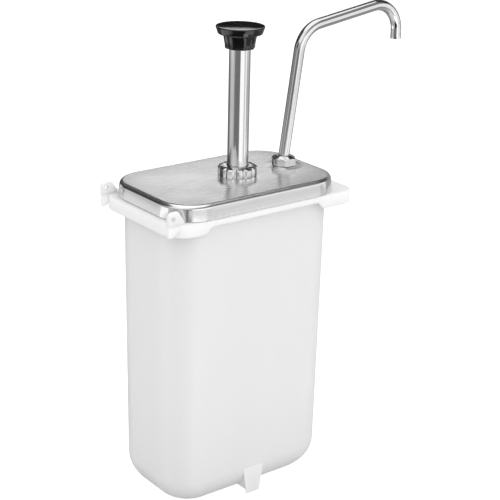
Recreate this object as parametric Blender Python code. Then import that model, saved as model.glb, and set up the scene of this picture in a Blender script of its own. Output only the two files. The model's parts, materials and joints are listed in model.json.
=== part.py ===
"""Condiment pump dispenser: a slim fountain jar, a pressed steel cover, a push pump and a bent spout.

Metres, +Z up. The jar stands on z = 0, centred on the Z axis, with its length along X and the spout
towards +X. Heights are worked out from the jar upwards and, for the pump, from the cover downwards.
"""

import math

import bmesh
import bpy
from mathutils import Vector

# Clearances
SEAT_GAP = 0.0003  # between faces that rest on each other, and between parts screwed together
SLIDE_GAP = 0.0002  # radial, plunger tube in its bushing
SEAL_GAP = 0.0001  # radial, rubber rings on what they seal

# Fountain jar
JAR_LENGTH = 0.1574
JAR_WIDTH = 0.0933
JAR_HEIGHT = 0.2536  # floor to the top of the flange
JAR_CORNER_R = 0.0268
JAR_TAPER = 0.0017  # draw-in of each wall from flange to floor
JAR_BOTTOM_R = 0.0290
JAR_FLOOR_CORNER_R = 0.0140
JAR_WALL = 0.0025

# Flange round the jar's mouth, with its turned-down lip
FLANGE_BACK = 0.0070  # overhang at the end with the ears
FLANGE_FRONT = 0.0125  # overhang at the spout's end
FLANGE_SIDE = 0.0068
FLANGE_BACK_R = 0.0200
FLANGE_FRONT_R = 0.0120
FLANGE_T = 0.0030
LIP_T = 0.0030
LIP_DEPTH = 0.0108
LIP_EDGE = 0.0010  # chamfer along the flange's upper edge
LIP_SIDE_DEPTH = 0.0052  # where the lip is cut back along the sides
LIP_SIDE_LENGTH = 0.1040
LIP_SIDE_SLOPE = 0.0060

# Raised rim on the flange that keeps the cover in place
RIM_HEIGHT = 0.0040
RIM_T = 0.0018
RIM_CLEARANCE = 0.0008

# Hinge ears at the back end
EAR_SPACING = 0.0930
EAR_T = 0.0038
EAR_OUT = 0.0024  # how far the ears stand out past the flange
EAR_LENGTH = 0.0142
EAR_HEIGHT = 0.0102
EAR_ROUND_R = 0.0042
EAR_TOP_LENGTH = 0.0086
EAR_TOE_HEIGHT = 0.0022
EAR_LIFT = 0.0014  # lower end above the lip's lower edge
EAR_HOLE_R = 0.0019
EAR_HOLE_HEIGHT = 0.0052

# Lugs low on the long sides: a plate in line with the wall, and a rib behind it
FOOT_WIDTH = 0.0130
FOOT_SPREAD = 0.0036  # widening of each side up to the top
FOOT_TOP = 0.0250
FOOT_LIFT = 0.0012  # lower edge above the standing plane
FOOT_PLATE_T = 0.0016
FOOT_RIB_DEPTH = 0.0130
FOOT_RIB_LIFT = 0.0046
FOOT_RIB_INSET = 0.0004

# Cover
LID_END_OVERHANG = 0.0028
LID_SIDE_OVERHANG = 0.00635
LID_CORNER_R = 0.0290
LID_HEIGHT = 0.0121
LID_DRAFT = 0.0011
LID_BEND_R = 0.0036
LID_SHEET = 0.0010
BOSS_R = 0.0150
BOSS_TOP_R = 0.0118
BOSS_HEIGHT = 0.0005

# Pump axis and barrel
PUMP_SPACING = 0.0473  # pump axis to spout axis
BARREL_BORE_R = 0.0105
BARREL_WALL = 0.00225
SHOULDER_R = 0.0170
SHOULDER_T = 0.0030
GASKET_T = 0.0016

# Lock collar
COLLAR_R = 0.0158
COLLAR_HEIGHT = 0.0075
COLLAR_ROOF = 0.0020
COLLAR_FLUTES = 12
COLLAR_FLUTE_DEPTH = 0.0013
COLLAR_CHAMFER = 0.0018
COLLAR_LOW_CHAMFER = 0.0004

# Plunger bushing
BUSHING_FLANGE_T = 0.0015
BUSHING_LENGTH = 0.0140

# Plunger
TUBE_R = 0.0085
TUBE_WALL = 0.0010
TUBE_SHOWING = 0.0944  # collar to knob, at rest
PLUG_LENGTH = 0.0120

# Knob
KNOB_R = 0.0193
KNOB_RIM_HEIGHT = 0.0067
KNOB_RIM_TAPER = 0.0014
KNOB_TOP_ROUND = 0.0007
KNOB_LOW_ROUND = 0.0015
KNOB_CROWN = 0.0004
KNOB_NECK_HEIGHT = 0.0112
KNOB_NECK_TOP_R = 0.0135
KNOB_NECK_R = 0.0122
KNOB_FLUTES = 8
KNOB_FLUTE_DEPTH = 0.0008
KNOB_SOCKET_DEPTH = 0.0090
KNOB_STUD_R = 0.0039
KNOB_STUD_LENGTH = 0.0060

# Piston
PISTON_HEIGHT = 0.0120
PISTON_RING_R = 0.0009
PISTON_STUD_R = 0.0030
CUP_BASE_T = 0.0025
CUP_LIP = 0.0040
CUP_WALL = 0.0014
WASHER_T = 0.0015
NUT_ACROSS = 0.0080
NUT_HEIGHT = 0.0040
STUD_SPARE = 0.0010

# Return spring
SPRING_WIRE_R = 0.0007
SPRING_R = 0.00725
SPRING_COILS = 16
SPRING_END_PITCH = 0.0022
SPRING_POINTS = 9  # points in one coil

# Valve body
INLET_HEIGHT = 0.0140  # inlet mouth above the jar's standing plane
INLET_R = 0.0090
FLOW_R = 0.0028  # bore of the inlet, the gallery and the outlet
INLET_BORE_LENGTH = 0.0060
VALVE_SEAT_SLOPE = 0.80  # rise of radius over height in the ball seats
CHAMBER_R = 0.0060
CHAMBER_HEIGHT = 0.0220
CUP_DEPTH = 0.0120
VALVE_CUP_WALL = 0.0024
VALVE_FLARE = 0.0070
GALLERY_DROP = 0.0075  # gallery axis below the cup's floor
GALLERY_WALL = 0.0036
COLUMN_WALL = 0.0034
OUTLET_BORE_LENGTH = 0.0045
OUTLET_CHAMBER_R = 0.0056
OUTLET_CHAMBER_HEIGHT = 0.0155
SUMP = 0.0006
BALL_R = 0.00476
BALL_LIFT = 0.0030
PIN_R = 0.0010
PIN_INSET = 0.0005
VALVE_RING_R = 0.0007

# Riser, its fitting and the fitting in the cover
RISER_R = 0.00397
RISER_WALL = 0.00124
RISER_FLANGE_R = 0.0088
RISER_FLANGE_T = 0.0042
RISER_SOCKET = 0.0060
SLOT_WIDTH = 0.0020
SLOT_DEPTH = 0.0016
RISER_RING_R = 0.00065
STEM_R = 0.0068
STEM_RISE = 0.0033  # stem above the boss
FITTING_FLANGE_T = 0.0030
FITTING_GASKET_T = 0.0015
FITTING_BARREL_R = 0.0078
FITTING_SOCKET = 0.0100
FITTING_WEB = 0.0030

# Coupling nut
COUPLING_ACROSS = 0.0182
COUPLING_HEIGHT = 0.0078
COUPLING_ROOF = 0.0026
COUPLING_CHAMFER = 0.0004
COUPLING_CONE = 0.0025  # height of the cone that tops the hexagon
COUPLING_TOP_R = 0.0060
FERRULE_T = 0.0011

# Spout
SPOUT_INSET = 0.0205  # spout axis from the jar's front end
SPOUT_R = 0.0045
SPOUT_WALL = 0.0012
SPOUT_RING_R = 0.00065
SPOUT_SOCKET = 0.0050
SPOUT_LEAN = math.radians(8.35)
SPOUT_KNEE_HEIGHT = 0.1108  # knee corner above the cover
SPOUT_ARM_RISE = math.radians(8.7)
SPOUT_REACH = 0.1177  # spout's axis to its tip
SPOUT_TIP_HEIGHT = 0.0923  # outlet above the cover
SPOUT_BEND_R = 0.0235
SPOUT_FOOT_BEND_R = 0.0200

# Fineness of the round shapes
CORNER_STEPS = 8
TURN_STEPS = 32
SMALL_TURN_STEPS = 24
ROD_STEPS = 16
RING_SIDES = 8
BEND_STEPS = 8
TUBE_SIDES = 16
SHARP_ANGLE = math.radians(35)
ROUND_SHARP_ANGLE = math.radians(60)

# Outlines that follow from the sizes above
lid_half_x = JAR_LENGTH / 2 + LID_END_OVERHANG
lid_half_y = JAR_WIDTH / 2 + LID_SIDE_OVERHANG
flange_half_y = JAR_WIDTH / 2 + FLANGE_SIDE
flange_back_x = -JAR_LENGTH / 2 - FLANGE_BACK
flange_front_x = JAR_LENGTH / 2 + FLANGE_FRONT
spout_x = JAR_LENGTH / 2 - SPOUT_INSET
pump_x = spout_x - PUMP_SPACING

# Heights of the cover, the collar and the bushing
lid_bottom = JAR_HEIGHT + SEAT_GAP
lid_top = lid_bottom + LID_HEIGHT
lid_under = lid_top - LID_SHEET
collar_bottom = lid_top + SEAT_GAP
collar_top = collar_bottom + COLLAR_HEIGHT
bushing_top = collar_top - COLLAR_ROOF - SEAT_GAP
bushing_shoulder = bushing_top - BUSHING_FLANGE_T
bushing_bottom = bushing_shoulder - BUSHING_LENGTH
neck_top = bushing_shoulder - SEAT_GAP
gasket_top = lid_under - SEAT_GAP
shoulder_top = gasket_top - GASKET_T - SEAT_GAP
barrel_r = BARREL_BORE_R + BARREL_WALL
pump_hole_r = barrel_r + SEAT_GAP
tube_bore_r = TUBE_R - TUBE_WALL

# Heights of the piston, from the bushing that stops it downwards
piston_top = bushing_bottom - SEAT_GAP
piston_bottom = piston_top - PISTON_HEIGHT
cup_top = piston_bottom - SEAT_GAP
cup_under = cup_top - CUP_BASE_T
washer_top = cup_under - SEAT_GAP
washer_bottom = washer_top - WASHER_T
nut_top = washer_bottom - SEAT_GAP
nut_bottom = nut_top - NUT_HEIGHT
stud_hole_r = PISTON_STUD_R + SEAT_GAP
cup_r = BARREL_BORE_R - SEAL_GAP
cup_inner_r = cup_r - CUP_WALL
washer_r = cup_inner_r - SEAT_GAP
plug_r = tube_bore_r - SEAT_GAP

# Heights of the knob
knob_bottom = collar_top + TUBE_SHOWING
knob_rim_bottom = knob_bottom + KNOB_NECK_HEIGHT
knob_top = knob_rim_bottom + KNOB_RIM_HEIGHT
socket_top = knob_bottom + KNOB_SOCKET_DEPTH
tube_top = socket_top - SEAT_GAP
tube_bottom = piston_top + SEAT_GAP

# Heights of the valve body, from the inlet upwards
inlet_seat = INLET_HEIGHT + INLET_BORE_LENGTH
chamber_bottom = inlet_seat + (CHAMBER_R - FLOW_R) / VALVE_SEAT_SLOPE
cup_floor = chamber_bottom + CHAMBER_HEIGHT
cup_rim = cup_floor + CUP_DEPTH
cup_bore_r = barrel_r + SEAT_GAP
barrel_bottom = cup_floor + SEAT_GAP
valve_ring_z = cup_floor + CUP_DEPTH / 2
valve_groove_r = barrel_r + SEAL_GAP + 2 * VALVE_RING_R + SEAL_GAP
valve_r = valve_groove_r + VALVE_CUP_WALL / 2
gallery_z = cup_floor - GALLERY_DROP
outlet_seat = gallery_z + OUTLET_BORE_LENGTH
outlet_chamber = outlet_seat + (OUTLET_CHAMBER_R - FLOW_R) / VALVE_SEAT_SLOPE
column_top = outlet_chamber + OUTLET_CHAMBER_HEIGHT
column_r = OUTLET_CHAMBER_R + COLUMN_WALL
column_bottom = gallery_z - FLOW_R - GALLERY_WALL

# Heights of the balls on their seats and of what stops them
seat_angle = math.atan(VALVE_SEAT_SLOPE)
ball_above_apex = (BALL_R + SEAT_GAP) / math.sin(seat_angle)
inlet_ball_z = inlet_seat - FLOW_R / VALVE_SEAT_SLOPE + ball_above_apex
outlet_ball_z = outlet_seat - FLOW_R / VALVE_SEAT_SLOPE + ball_above_apex
pin_z = inlet_ball_z + BALL_R + BALL_LIFT + SEAT_GAP + PIN_R
ball_stop_z = outlet_ball_z + BALL_R + BALL_LIFT + SEAT_GAP

# Heights of the riser and of the fitting in the cover
riser_socket_r = RISER_R + SEAT_GAP
riser_flange_bottom = column_top + SEAT_GAP
riser_flange_top = riser_flange_bottom + RISER_FLANGE_T
riser_socket_floor = riser_flange_top - RISER_SOCKET
riser_ring_z = riser_flange_bottom + RISER_FLANGE_T / 2
riser_bottom = riser_socket_floor + SEAT_GAP
boss_top = lid_top + BOSS_HEIGHT
boss_under = boss_top - LID_SHEET
fitting_r = BOSS_TOP_R - LID_SHEET - 2 * SEAT_GAP
fitting_gasket_top = boss_under - SEAT_GAP
fitting_flange_top = fitting_gasket_top - FITTING_GASKET_T - SEAT_GAP
fitting_flange_bottom = fitting_flange_top - FITTING_FLANGE_T
web_top = boss_top - SPOUT_SOCKET
web_bottom = web_top - FITTING_WEB
fitting_bottom = web_bottom - FITTING_SOCKET
riser_top = web_bottom - SEAT_GAP
stem_top = boss_top + STEM_RISE
stem_hole_r = STEM_R + SEAT_GAP
spout_socket_r = SPOUT_R + SEAT_GAP
spout_ring_floor = stem_top - 2 * SPOUT_RING_R - SEAT_GAP

# Heights of the coupling nut and the spout
coupling_bottom = boss_top + SEAT_GAP
coupling_top = coupling_bottom + COUPLING_HEIGHT
ferrule_bottom = stem_top + SEAT_GAP
ferrule_top = ferrule_bottom + FERRULE_T
spout_bottom = web_top + SEAT_GAP


def clear_scene():
    for obj in list(bpy.data.objects):
        bpy.data.objects.remove(obj, do_unlink=True)


def make_material(name, colour, roughness, metallic=0.0):
    material = bpy.data.materials.new(name)
    material.use_nodes = True
    shader = material.node_tree.nodes["Principled BSDF"]
    shader.inputs["Base Color"].default_value = (*colour, 1.0)
    shader.inputs["Roughness"].default_value = roughness
    shader.inputs["Metallic"].default_value = metallic
    return material


def add_object(name, data, parent=None):
    obj = bpy.data.objects.new(name, data)
    bpy.context.scene.collection.objects.link(obj)
    obj.parent = parent
    return obj


def add_axis(name, x):
    """An empty on a vertical axis, which carries the pieces that share it."""
    axis = add_object(name, None)
    axis.location = (x, 0, 0)
    return axis


def add_mesh(name, bm, material=None, parent=None, sharp=SHARP_ANGLE):
    """An object from a bmesh, shaded smooth apart from edges that turn by more than the sharp angle."""
    bmesh.ops.recalc_face_normals(bm, faces=bm.faces[:])
    mesh = bpy.data.meshes.new(name)
    bm.to_mesh(mesh)
    bm.free()
    mesh.shade_smooth()
    mesh.set_sharp_from_angle(angle=sharp)
    if material:
        mesh.materials.append(material)
    return add_object(name, mesh, parent)


def tube_profile(outer_r, inner_r, top, bottom):
    return [(outer_r, top), (outer_r, bottom), (inner_r, bottom), (inner_r, top)]


def outline(low_x, high_x, half_y, low_r, high_r, z):
    """A rectangle with round corners, as a ring of points; each end has its own corner radius."""
    corners = (
        (high_x - high_r, half_y - high_r, high_r, 0),
        (low_x + low_r, half_y - low_r, low_r, 1),
        (low_x + low_r, low_r - half_y, low_r, 2),
        (high_x - high_r, high_r - half_y, high_r, 3),
    )
    points = []
    for x, y, radius, quarter in corners:
        for i in range(CORNER_STEPS + 1):
            angle = (quarter + i / CORNER_STEPS) * math.pi / 2
            points.append(Vector((x + radius * math.cos(angle), y + radius * math.sin(angle), z)))
    return points


def even_outline(half_x, half_y, radius, z):
    return outline(-half_x, half_x, half_y, radius, radius, z)


def circle(radius, z, steps, offset=0.0):
    """A ring of points; the offset turns it by a share of one step."""
    angles = [2 * math.pi * (i + offset) / steps for i in range(steps)]
    return [Vector((radius * math.cos(a), radius * math.sin(a), z)) for a in angles]


def wavy_ring(radius, z, count, waves, depth, wave):
    """A circle whose radius is cut by wave, a function of the angle, times depth."""
    points = []
    for i in range(count):
        angle = 2 * math.pi * i / count
        reach = radius - depth * wave(waves * angle)
        points.append(Vector((reach * math.cos(angle), reach * math.sin(angle), z)))
    return points


def join_rings(bm, rings):
    """Rows of vertices for rings of equal count, with faces from each ring to the next."""
    rows = [[bm.verts.new(point) for point in ring] for ring in rings]
    for lower, upper in zip(rows, rows[1:]):
        bridge(bm, lower, upper)
    return rows


def bridge(bm, lower, upper):
    count = len(lower)
    for i in range(count):
        j = (i + 1) % count
        bm.faces.new((lower[i], lower[j], upper[j], upper[i]))


def loft(name, rings, material=None, parent=None, sharp=SHARP_ANGLE):
    """A closed body through rings, capped at both ends."""
    bm = bmesh.new()
    rows = join_rings(bm, rings)
    bm.faces.new(rows[0])
    bm.faces.new(rows[-1])
    return add_mesh(name, bm, material, parent, sharp)


def ring_loft(name, rings, material=None, parent=None, sharp=SHARP_ANGLE):
    """A closed body through rings that come back to the first one, so it has a bore."""
    bm = bmesh.new()
    rows = join_rings(bm, rings)
    bridge(bm, rows[-1], rows[0])
    return add_mesh(name, bm, material, parent, sharp)


def turned(name, profile, material=None, parent=None, steps=TURN_STEPS):
    """A closed outline of (radius, height) points turned about the parent's axis, with a bore."""
    return ring_loft(name, [circle(radius, z, steps) for radius, z in profile], material, parent)


def turned_solid(name, profile, material=None, parent=None, steps=TURN_STEPS):
    """An outline of (radius, height) points turned about the parent's axis, flat at both ends."""
    return loft(name, [circle(radius, z, steps) for radius, z in profile], material, parent)


def o_ring(name, centre_r, centre_z, section_r, material, parent, steps=SMALL_TURN_STEPS):
    """A ring of round section about the parent's axis."""
    rings = []
    for i in range(RING_SIDES):
        angle = 2 * math.pi * i / RING_SIDES
        radius = centre_r + section_r * math.cos(angle)
        rings.append(circle(radius, centre_z + section_r * math.sin(angle), steps))
    return ring_loft(name, rings, material, parent, ROUND_SHARP_ANGLE)


def prism(name, points, direction, depth, material=None, parent=None):
    """A flat outline of 3-D points pushed along a direction."""
    bm = bmesh.new()
    face = bm.faces.new([bm.verts.new(point) for point in points])
    pushed = bmesh.ops.extrude_face_region(bm, geom=[face])
    moved = [item for item in pushed["geom"] if isinstance(item, bmesh.types.BMVert)]
    bmesh.ops.translate(bm, verts=moved, vec=Vector(direction) * depth)
    return add_mesh(name, bm, material, parent)


def rod(name, start, end, radius, steps, material=None, parent=None):
    """A round bar between two points."""
    along = Vector(end) - Vector(start)
    turn = along.to_track_quat("Z", "Y")
    section = circle(radius, 0, steps, 0.5)
    rings = [[Vector(base) + turn @ point for point in section] for base in (start, end)]
    return loft(name, rings, material, parent)


def join(body, other):
    combine(body, other, "UNION")


def cut(body, other):
    combine(body, other, "DIFFERENCE")


def combine(body, other, operation):
    """A Boolean on body; the other object stays as a hidden tool."""
    other.hide_render = True
    other.display_type = "WIRE"
    tool = body.modifiers.new(other.name, "BOOLEAN")
    tool.operation = operation
    tool.solver = "EXACT"
    tool.object = other


def jar_shell_rings(wall):
    """Rings of the jar's wall from its floor to the flange, drawn in by wall: 0 gives the outside."""
    half_x = JAR_LENGTH / 2 - wall
    half_y = JAR_WIDTH / 2 - wall
    corner = JAR_CORNER_R - wall
    shrink = JAR_CORNER_R - JAR_FLOOR_CORNER_R
    fillet = JAR_BOTTOM_R - wall
    rings = []
    for i in range(BEND_STEPS + 1):
        angle = math.pi / 2 * (1 - i / BEND_STEPS)
        inset = JAR_TAPER + fillet * (1 - math.cos(angle))
        z = JAR_BOTTOM_R - fillet * math.sin(angle)
        radius = corner - shrink * inset / (JAR_TAPER + fillet)
        rings.append(even_outline(half_x - inset, half_y - inset, radius, z))
    return rings, (half_x, half_y, corner)


def flange_ring(inset, z):
    return outline(
        flange_back_x + inset,
        flange_front_x - inset,
        flange_half_y - inset,
        FLANGE_BACK_R - inset,
        FLANGE_FRONT_R - inset,
        z,
    )


def rim_ring(inset, z):
    """A ring of the raised rim, which stands inside the cover's skirt."""
    lean = LID_DRAFT * (RIM_HEIGHT + SEAT_GAP) / (LID_HEIGHT - LID_BEND_R)
    gap = LID_SHEET + lean + RIM_CLEARANCE + inset
    return even_outline(lid_half_x - gap, lid_half_y - gap, LID_CORNER_R - gap, z)


def make_ear(name, side, material):
    """A hinge ear: a plate with a rounded outer top and a sloping back, down along the lip."""
    start = flange_back_x - EAR_OUT
    low = JAR_HEIGHT - LIP_DEPTH + EAR_LIFT
    top = JAR_HEIGHT + EAR_HEIGHT
    outline_points = [(start, low)]
    for i in range(BEND_STEPS + 1):
        angle = math.pi - math.pi / 2 * i / BEND_STEPS
        x = start + EAR_ROUND_R * (1 + math.cos(angle))
        outline_points.append((x, top - EAR_ROUND_R * (1 - math.sin(angle))))
    outline_points.append((start + EAR_TOP_LENGTH, top))
    outline_points.append((start + EAR_LENGTH, JAR_HEIGHT + EAR_TOE_HEIGHT))
    outline_points.append((start + EAR_LENGTH, JAR_HEIGHT - FLANGE_T / 2))
    outline_points.append((start + EAR_OUT + LIP_T / 2, low))
    y = side * EAR_SPACING / 2 - EAR_T / 2
    points = [Vector((x, y, z)) for x, z in outline_points]
    return prism(name, points, (0, 1, 0), EAR_T, material)


def make_foot(name, side, inset, low, depth, material):
    """The plate or the rib of a foot: a slab that widens upwards, set in from the wall's plane."""
    y = side * (JAR_WIDTH / 2 - JAR_TAPER - inset)

    def half_width(z):
        return FOOT_WIDTH / 2 - inset + FOOT_SPREAD * (z - FOOT_LIFT) / (FOOT_TOP - FOOT_LIFT)

    high = FOOT_TOP - inset
    corners = [(-half_width(low), low), (half_width(low), low)]
    corners += [(half_width(high), high), (-half_width(high), high)]
    points = [Vector((x, y, z)) for x, z in corners]
    return prism(name, points, (0, -side, 0), depth, material)


def make_jar(material):
    rings, (half_x, half_y, corner) = jar_shell_rings(0)
    under = JAR_HEIGHT - FLANGE_T
    low = JAR_HEIGHT - LIP_DEPTH
    rings.append(even_outline(half_x, half_y, corner, under))
    rings.append(flange_ring(LIP_T, under))
    rings.append(flange_ring(LIP_T, low))
    rings.append(flange_ring(0, low))
    rings.append(flange_ring(0, JAR_HEIGHT - LIP_EDGE))
    rings.append(flange_ring(LIP_EDGE, JAR_HEIGHT))
    rings.append(rim_ring(0, JAR_HEIGHT))
    rings.append(rim_ring(0, JAR_HEIGHT + RIM_HEIGHT))
    jar = loft("fountain_jar", rings, material)

    for side, where in ((-1, "right"), (1, "left")):
        plate = (0, FOOT_LIFT, FOOT_PLATE_T)
        rib = (FOOT_RIB_INSET, FOOT_RIB_LIFT, FOOT_RIB_DEPTH)
        join(jar, make_foot("tool_foot_plate_" + where, side, *plate, material))
        join(jar, make_foot("tool_foot_rib_" + where, side, *rib, material))
        join(jar, make_ear("tool_ear_" + where, side, material))

    rings, (half_x, half_y, corner) = jar_shell_rings(JAR_WALL)
    rings.append(even_outline(half_x, half_y, corner, JAR_HEIGHT))
    rings.append(rim_ring(RIM_T, JAR_HEIGHT))
    rings.append(rim_ring(RIM_T, JAR_HEIGHT + 2 * RIM_HEIGHT))
    cut(jar, loft("tool_jar_inside", rings, material))

    hole_x = flange_back_x - EAR_OUT + EAR_ROUND_R
    hole_z = JAR_HEIGHT + EAR_HOLE_HEIGHT
    start = (hole_x, -JAR_WIDTH, hole_z)
    end = (hole_x, JAR_WIDTH, hole_z)
    cut(jar, rod("tool_ear_holes", start, end, EAR_HOLE_R, ROD_STEPS, material))

    half = LIP_SIDE_LENGTH / 2
    high = JAR_HEIGHT - LIP_SIDE_DEPTH
    below = JAR_HEIGHT - 2 * LIP_DEPTH
    slope = LIP_SIDE_SLOPE * (high - below) / (LIP_DEPTH - LIP_SIDE_DEPTH)
    sides = [(-half, high), (half, high), (half + slope, below), (-half - slope, below)]
    for side, where in ((-1, "right"), (1, "left")):
        inside = side * (flange_half_y - LIP_T - SEAT_GAP)
        points = [Vector((x, inside, z)) for x, z in sides]
        cut(jar, prism("tool_lip_" + where, points, (0, side, 0), 2 * LIP_DEPTH, material))


def lid_ring(inset, z):
    return even_outline(lid_half_x - inset, lid_half_y - inset, LID_CORNER_R - inset, z)


def lid_skin(offset):
    """Rings of one side of the cover's sheet, from the skirt's lower edge to the flat top."""
    rings = [lid_ring(offset, lid_bottom)]
    bend = LID_BEND_R - offset
    for i in range(BEND_STEPS // 2 + 1):
        angle = math.pi / 2 * i / (BEND_STEPS // 2)
        inset = offset + LID_DRAFT + bend * (1 - math.cos(angle))
        rings.append(lid_ring(inset, lid_top - LID_BEND_R + bend * math.sin(angle)))
    return rings


def make_lid(material, pump_axis, spout_axis):
    rings = lid_skin(LID_SHEET)[::-1] + lid_skin(0)
    lid = loft("lid_cover", rings, material)
    sunk = lid_top - LID_SHEET / 2
    raised = [(BOSS_TOP_R, boss_top), (BOSS_R, lid_top), (BOSS_R, sunk)]
    join(lid, turned_solid("tool_boss", raised, material, spout_axis))
    below = lid_under - LID_SHEET
    inner_r = BOSS_R - LID_SHEET
    hollow = [(BOSS_TOP_R - LID_SHEET, boss_under), (inner_r, lid_under), (inner_r, below)]
    cut(lid, turned_solid("tool_boss_hollow", hollow, material, spout_axis))
    for name, axis, radius in (("pump", pump_axis, pump_hole_r), ("stem", spout_axis, stem_hole_r)):
        cut(lid, turned_solid("tool_%s_hole" % name, [(radius, collar_top), (radius, below)], material, axis))


def make_barrel(steel, rubber, axis):
    """The pump barrel with the shoulder that bears on the cover from below, and its gasket."""
    shoulder_bottom = shoulder_top - SHOULDER_T
    profile = [
        (barrel_r, neck_top),
        (barrel_r, shoulder_top),
        (SHOULDER_R, shoulder_top),
        (SHOULDER_R, shoulder_bottom),
        (barrel_r, shoulder_bottom - (SHOULDER_R - barrel_r) / 2),
        (barrel_r, barrel_bottom),
        (BARREL_BORE_R, barrel_bottom),
        (BARREL_BORE_R, neck_top),
    ]
    turned("pump_cylinder", profile, steel, axis)
    gasket = tube_profile(SHOULDER_R, pump_hole_r, gasket_top, gasket_top - GASKET_T)
    turned("cylinder_gasket", gasket, rubber, axis)


def make_collar(steel, axis):
    """The lock collar: a fluted cap nut whose roof holds the bushing down on the barrel's neck."""
    count = 5 * COLLAR_FLUTES

    def fluted(radius, z):
        return wavy_ring(radius, z, count, COLLAR_FLUTES, COLLAR_FLUTE_DEPTH, lambda a: max(0, -math.cos(a)))

    def plain(radius, z):
        return circle(radius, z, count)

    roof_under = collar_top - COLLAR_ROOF
    hole_r = TUBE_R + 2 * SLIDE_GAP
    rings = [
        plain(pump_hole_r, roof_under),
        plain(pump_hole_r, collar_bottom),
        fluted(COLLAR_R - COLLAR_LOW_CHAMFER, collar_bottom),
        fluted(COLLAR_R, collar_bottom + COLLAR_LOW_CHAMFER),
        fluted(COLLAR_R, collar_top - COLLAR_CHAMFER),
        plain(COLLAR_R - COLLAR_FLUTE_DEPTH - COLLAR_CHAMFER, collar_top),
        plain(hole_r, collar_top),
        plain(hole_r, roof_under),
    ]
    ring_loft("lock_collar", rings, steel, axis)


def make_bushing(plastic, axis):
    body_r = BARREL_BORE_R - SEAT_GAP
    bore_r = TUBE_R + SLIDE_GAP
    profile = [
        (barrel_r, bushing_top),
        (barrel_r, bushing_shoulder),
        (body_r, bushing_shoulder),
        (body_r, bushing_bottom),
        (bore_r, bushing_bottom),
        (bore_r, bushing_top),
    ]
    turned("plunger_bushing", profile, plastic, axis)


def make_knob(plastic, axis):
    """The push knob: a crowned rim on a fluted, tapered neck, hollow where it takes the tube and stud."""
    count = 5 * KNOB_FLUTES
    stud_r = KNOB_STUD_R + SEAT_GAP
    stud_top = socket_top + KNOB_STUD_LENGTH + SEAT_GAP
    socket_r = TUBE_R + SEAT_GAP

    def ring(radius, z, depth=0.0):
        return wavy_ring(radius, z, count, KNOB_FLUTES, depth, lambda a: (1 + math.cos(a)) / 2)

    inside = ((stud_r, stud_top), (stud_r, socket_top), (socket_r, socket_top), (socket_r, knob_bottom))
    rings = [ring(radius, z) for radius, z in inside]
    foot = KNOB_NECK_HEIGHT / 8
    rings.append(ring(KNOB_NECK_R - foot / 2, knob_bottom, KNOB_FLUTE_DEPTH))
    rings.append(ring(KNOB_NECK_R, knob_bottom + foot, KNOB_FLUTE_DEPTH))
    rings.append(ring(KNOB_NECK_R, knob_bottom + 2 * foot, KNOB_FLUTE_DEPTH))
    rings.append(ring(KNOB_NECK_TOP_R, knob_rim_bottom, KNOB_FLUTE_DEPTH))
    low_r = KNOB_R - KNOB_RIM_TAPER
    for i in range(3):
        angle = math.pi / 4 * i
        reach = low_r - KNOB_LOW_ROUND * (1 - math.sin(angle))
        rings.append(ring(reach, knob_rim_bottom + KNOB_LOW_ROUND * (1 - math.cos(angle))))
    edge = knob_top - KNOB_CROWN
    for i in range(4):
        angle = math.pi / 6 * i
        reach = KNOB_R - KNOB_TOP_ROUND * (1 - math.cos(angle))
        rings.append(ring(reach, edge - KNOB_TOP_ROUND * (1 - math.sin(angle))))
    flat_r = KNOB_R - KNOB_TOP_ROUND
    for share in (2 / 3, 1 / 3):
        rings.append(ring(flat_r * share, knob_top - KNOB_CROWN * share * share))
    loft("knob", rings, plastic, axis)


def make_plunger(steel, plastic, rubber, axis):
    turned("plunger_tube", tube_profile(TUBE_R, tube_bore_r, tube_top, tube_bottom), steel, axis)
    stud_profile = [
        (KNOB_STUD_R, tube_top + KNOB_STUD_LENGTH),
        (KNOB_STUD_R, tube_top),
        (plug_r, tube_top),
        (plug_r, tube_top - PLUG_LENGTH),
    ]
    turned_solid("knob_stud", stud_profile, steel, axis, SMALL_TURN_STEPS)
    plug_profile = [
        (plug_r, tube_bottom + PLUG_LENGTH),
        (plug_r, tube_bottom),
        (PISTON_STUD_R, tube_bottom),
        (PISTON_STUD_R, nut_bottom - STUD_SPARE),
    ]
    turned_solid("piston_stud", plug_profile, steel, axis, SMALL_TURN_STEPS)

    piston_r = BARREL_BORE_R - SEAT_GAP
    ring_z = (piston_top + piston_bottom) / 2
    ring_r = BARREL_BORE_R - SEAL_GAP - PISTON_RING_R
    groove_r = ring_r - PISTON_RING_R - SEAL_GAP
    groove_half = PISTON_RING_R + SEAL_GAP
    piston_profile = [
        (piston_r, piston_top),
        (piston_r, ring_z + groove_half),
        (groove_r, ring_z + groove_half),
        (groove_r, ring_z - groove_half),
        (piston_r, ring_z - groove_half),
        (piston_r, piston_bottom),
        (stud_hole_r, piston_bottom),
        (stud_hole_r, piston_top),
    ]
    turned("piston", piston_profile, plastic, axis, SMALL_TURN_STEPS)
    o_ring("piston_o_ring", ring_r, ring_z, PISTON_RING_R, rubber, axis)
    cup_profile = [
        (cup_r, cup_top),
        (cup_r, cup_under - CUP_LIP),
        (cup_inner_r, cup_under - CUP_LIP),
        (cup_inner_r, cup_under),
        (stud_hole_r, cup_under),
        (stud_hole_r, cup_top),
    ]
    turned("piston_cup", cup_profile, rubber, axis, SMALL_TURN_STEPS)
    washer = tube_profile(washer_r, stud_hole_r, washer_top, washer_bottom)
    turned("piston_washer", washer, steel, axis, SMALL_TURN_STEPS)


def hexagon_reach(across, angle):
    """Distance from a hexagon's centre to its side at an angle, with a corner at angle 0."""
    return across / 2 / math.cos((angle % (math.pi / 3)) - math.pi / 6)


def hexagon_ring(across, limit, z, count):
    points = []
    for i in range(count):
        angle = 2 * math.pi * i / count
        reach = min(hexagon_reach(across, angle), limit)
        points.append(Vector((reach * math.cos(angle), reach * math.sin(angle), z)))
    return points


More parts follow.
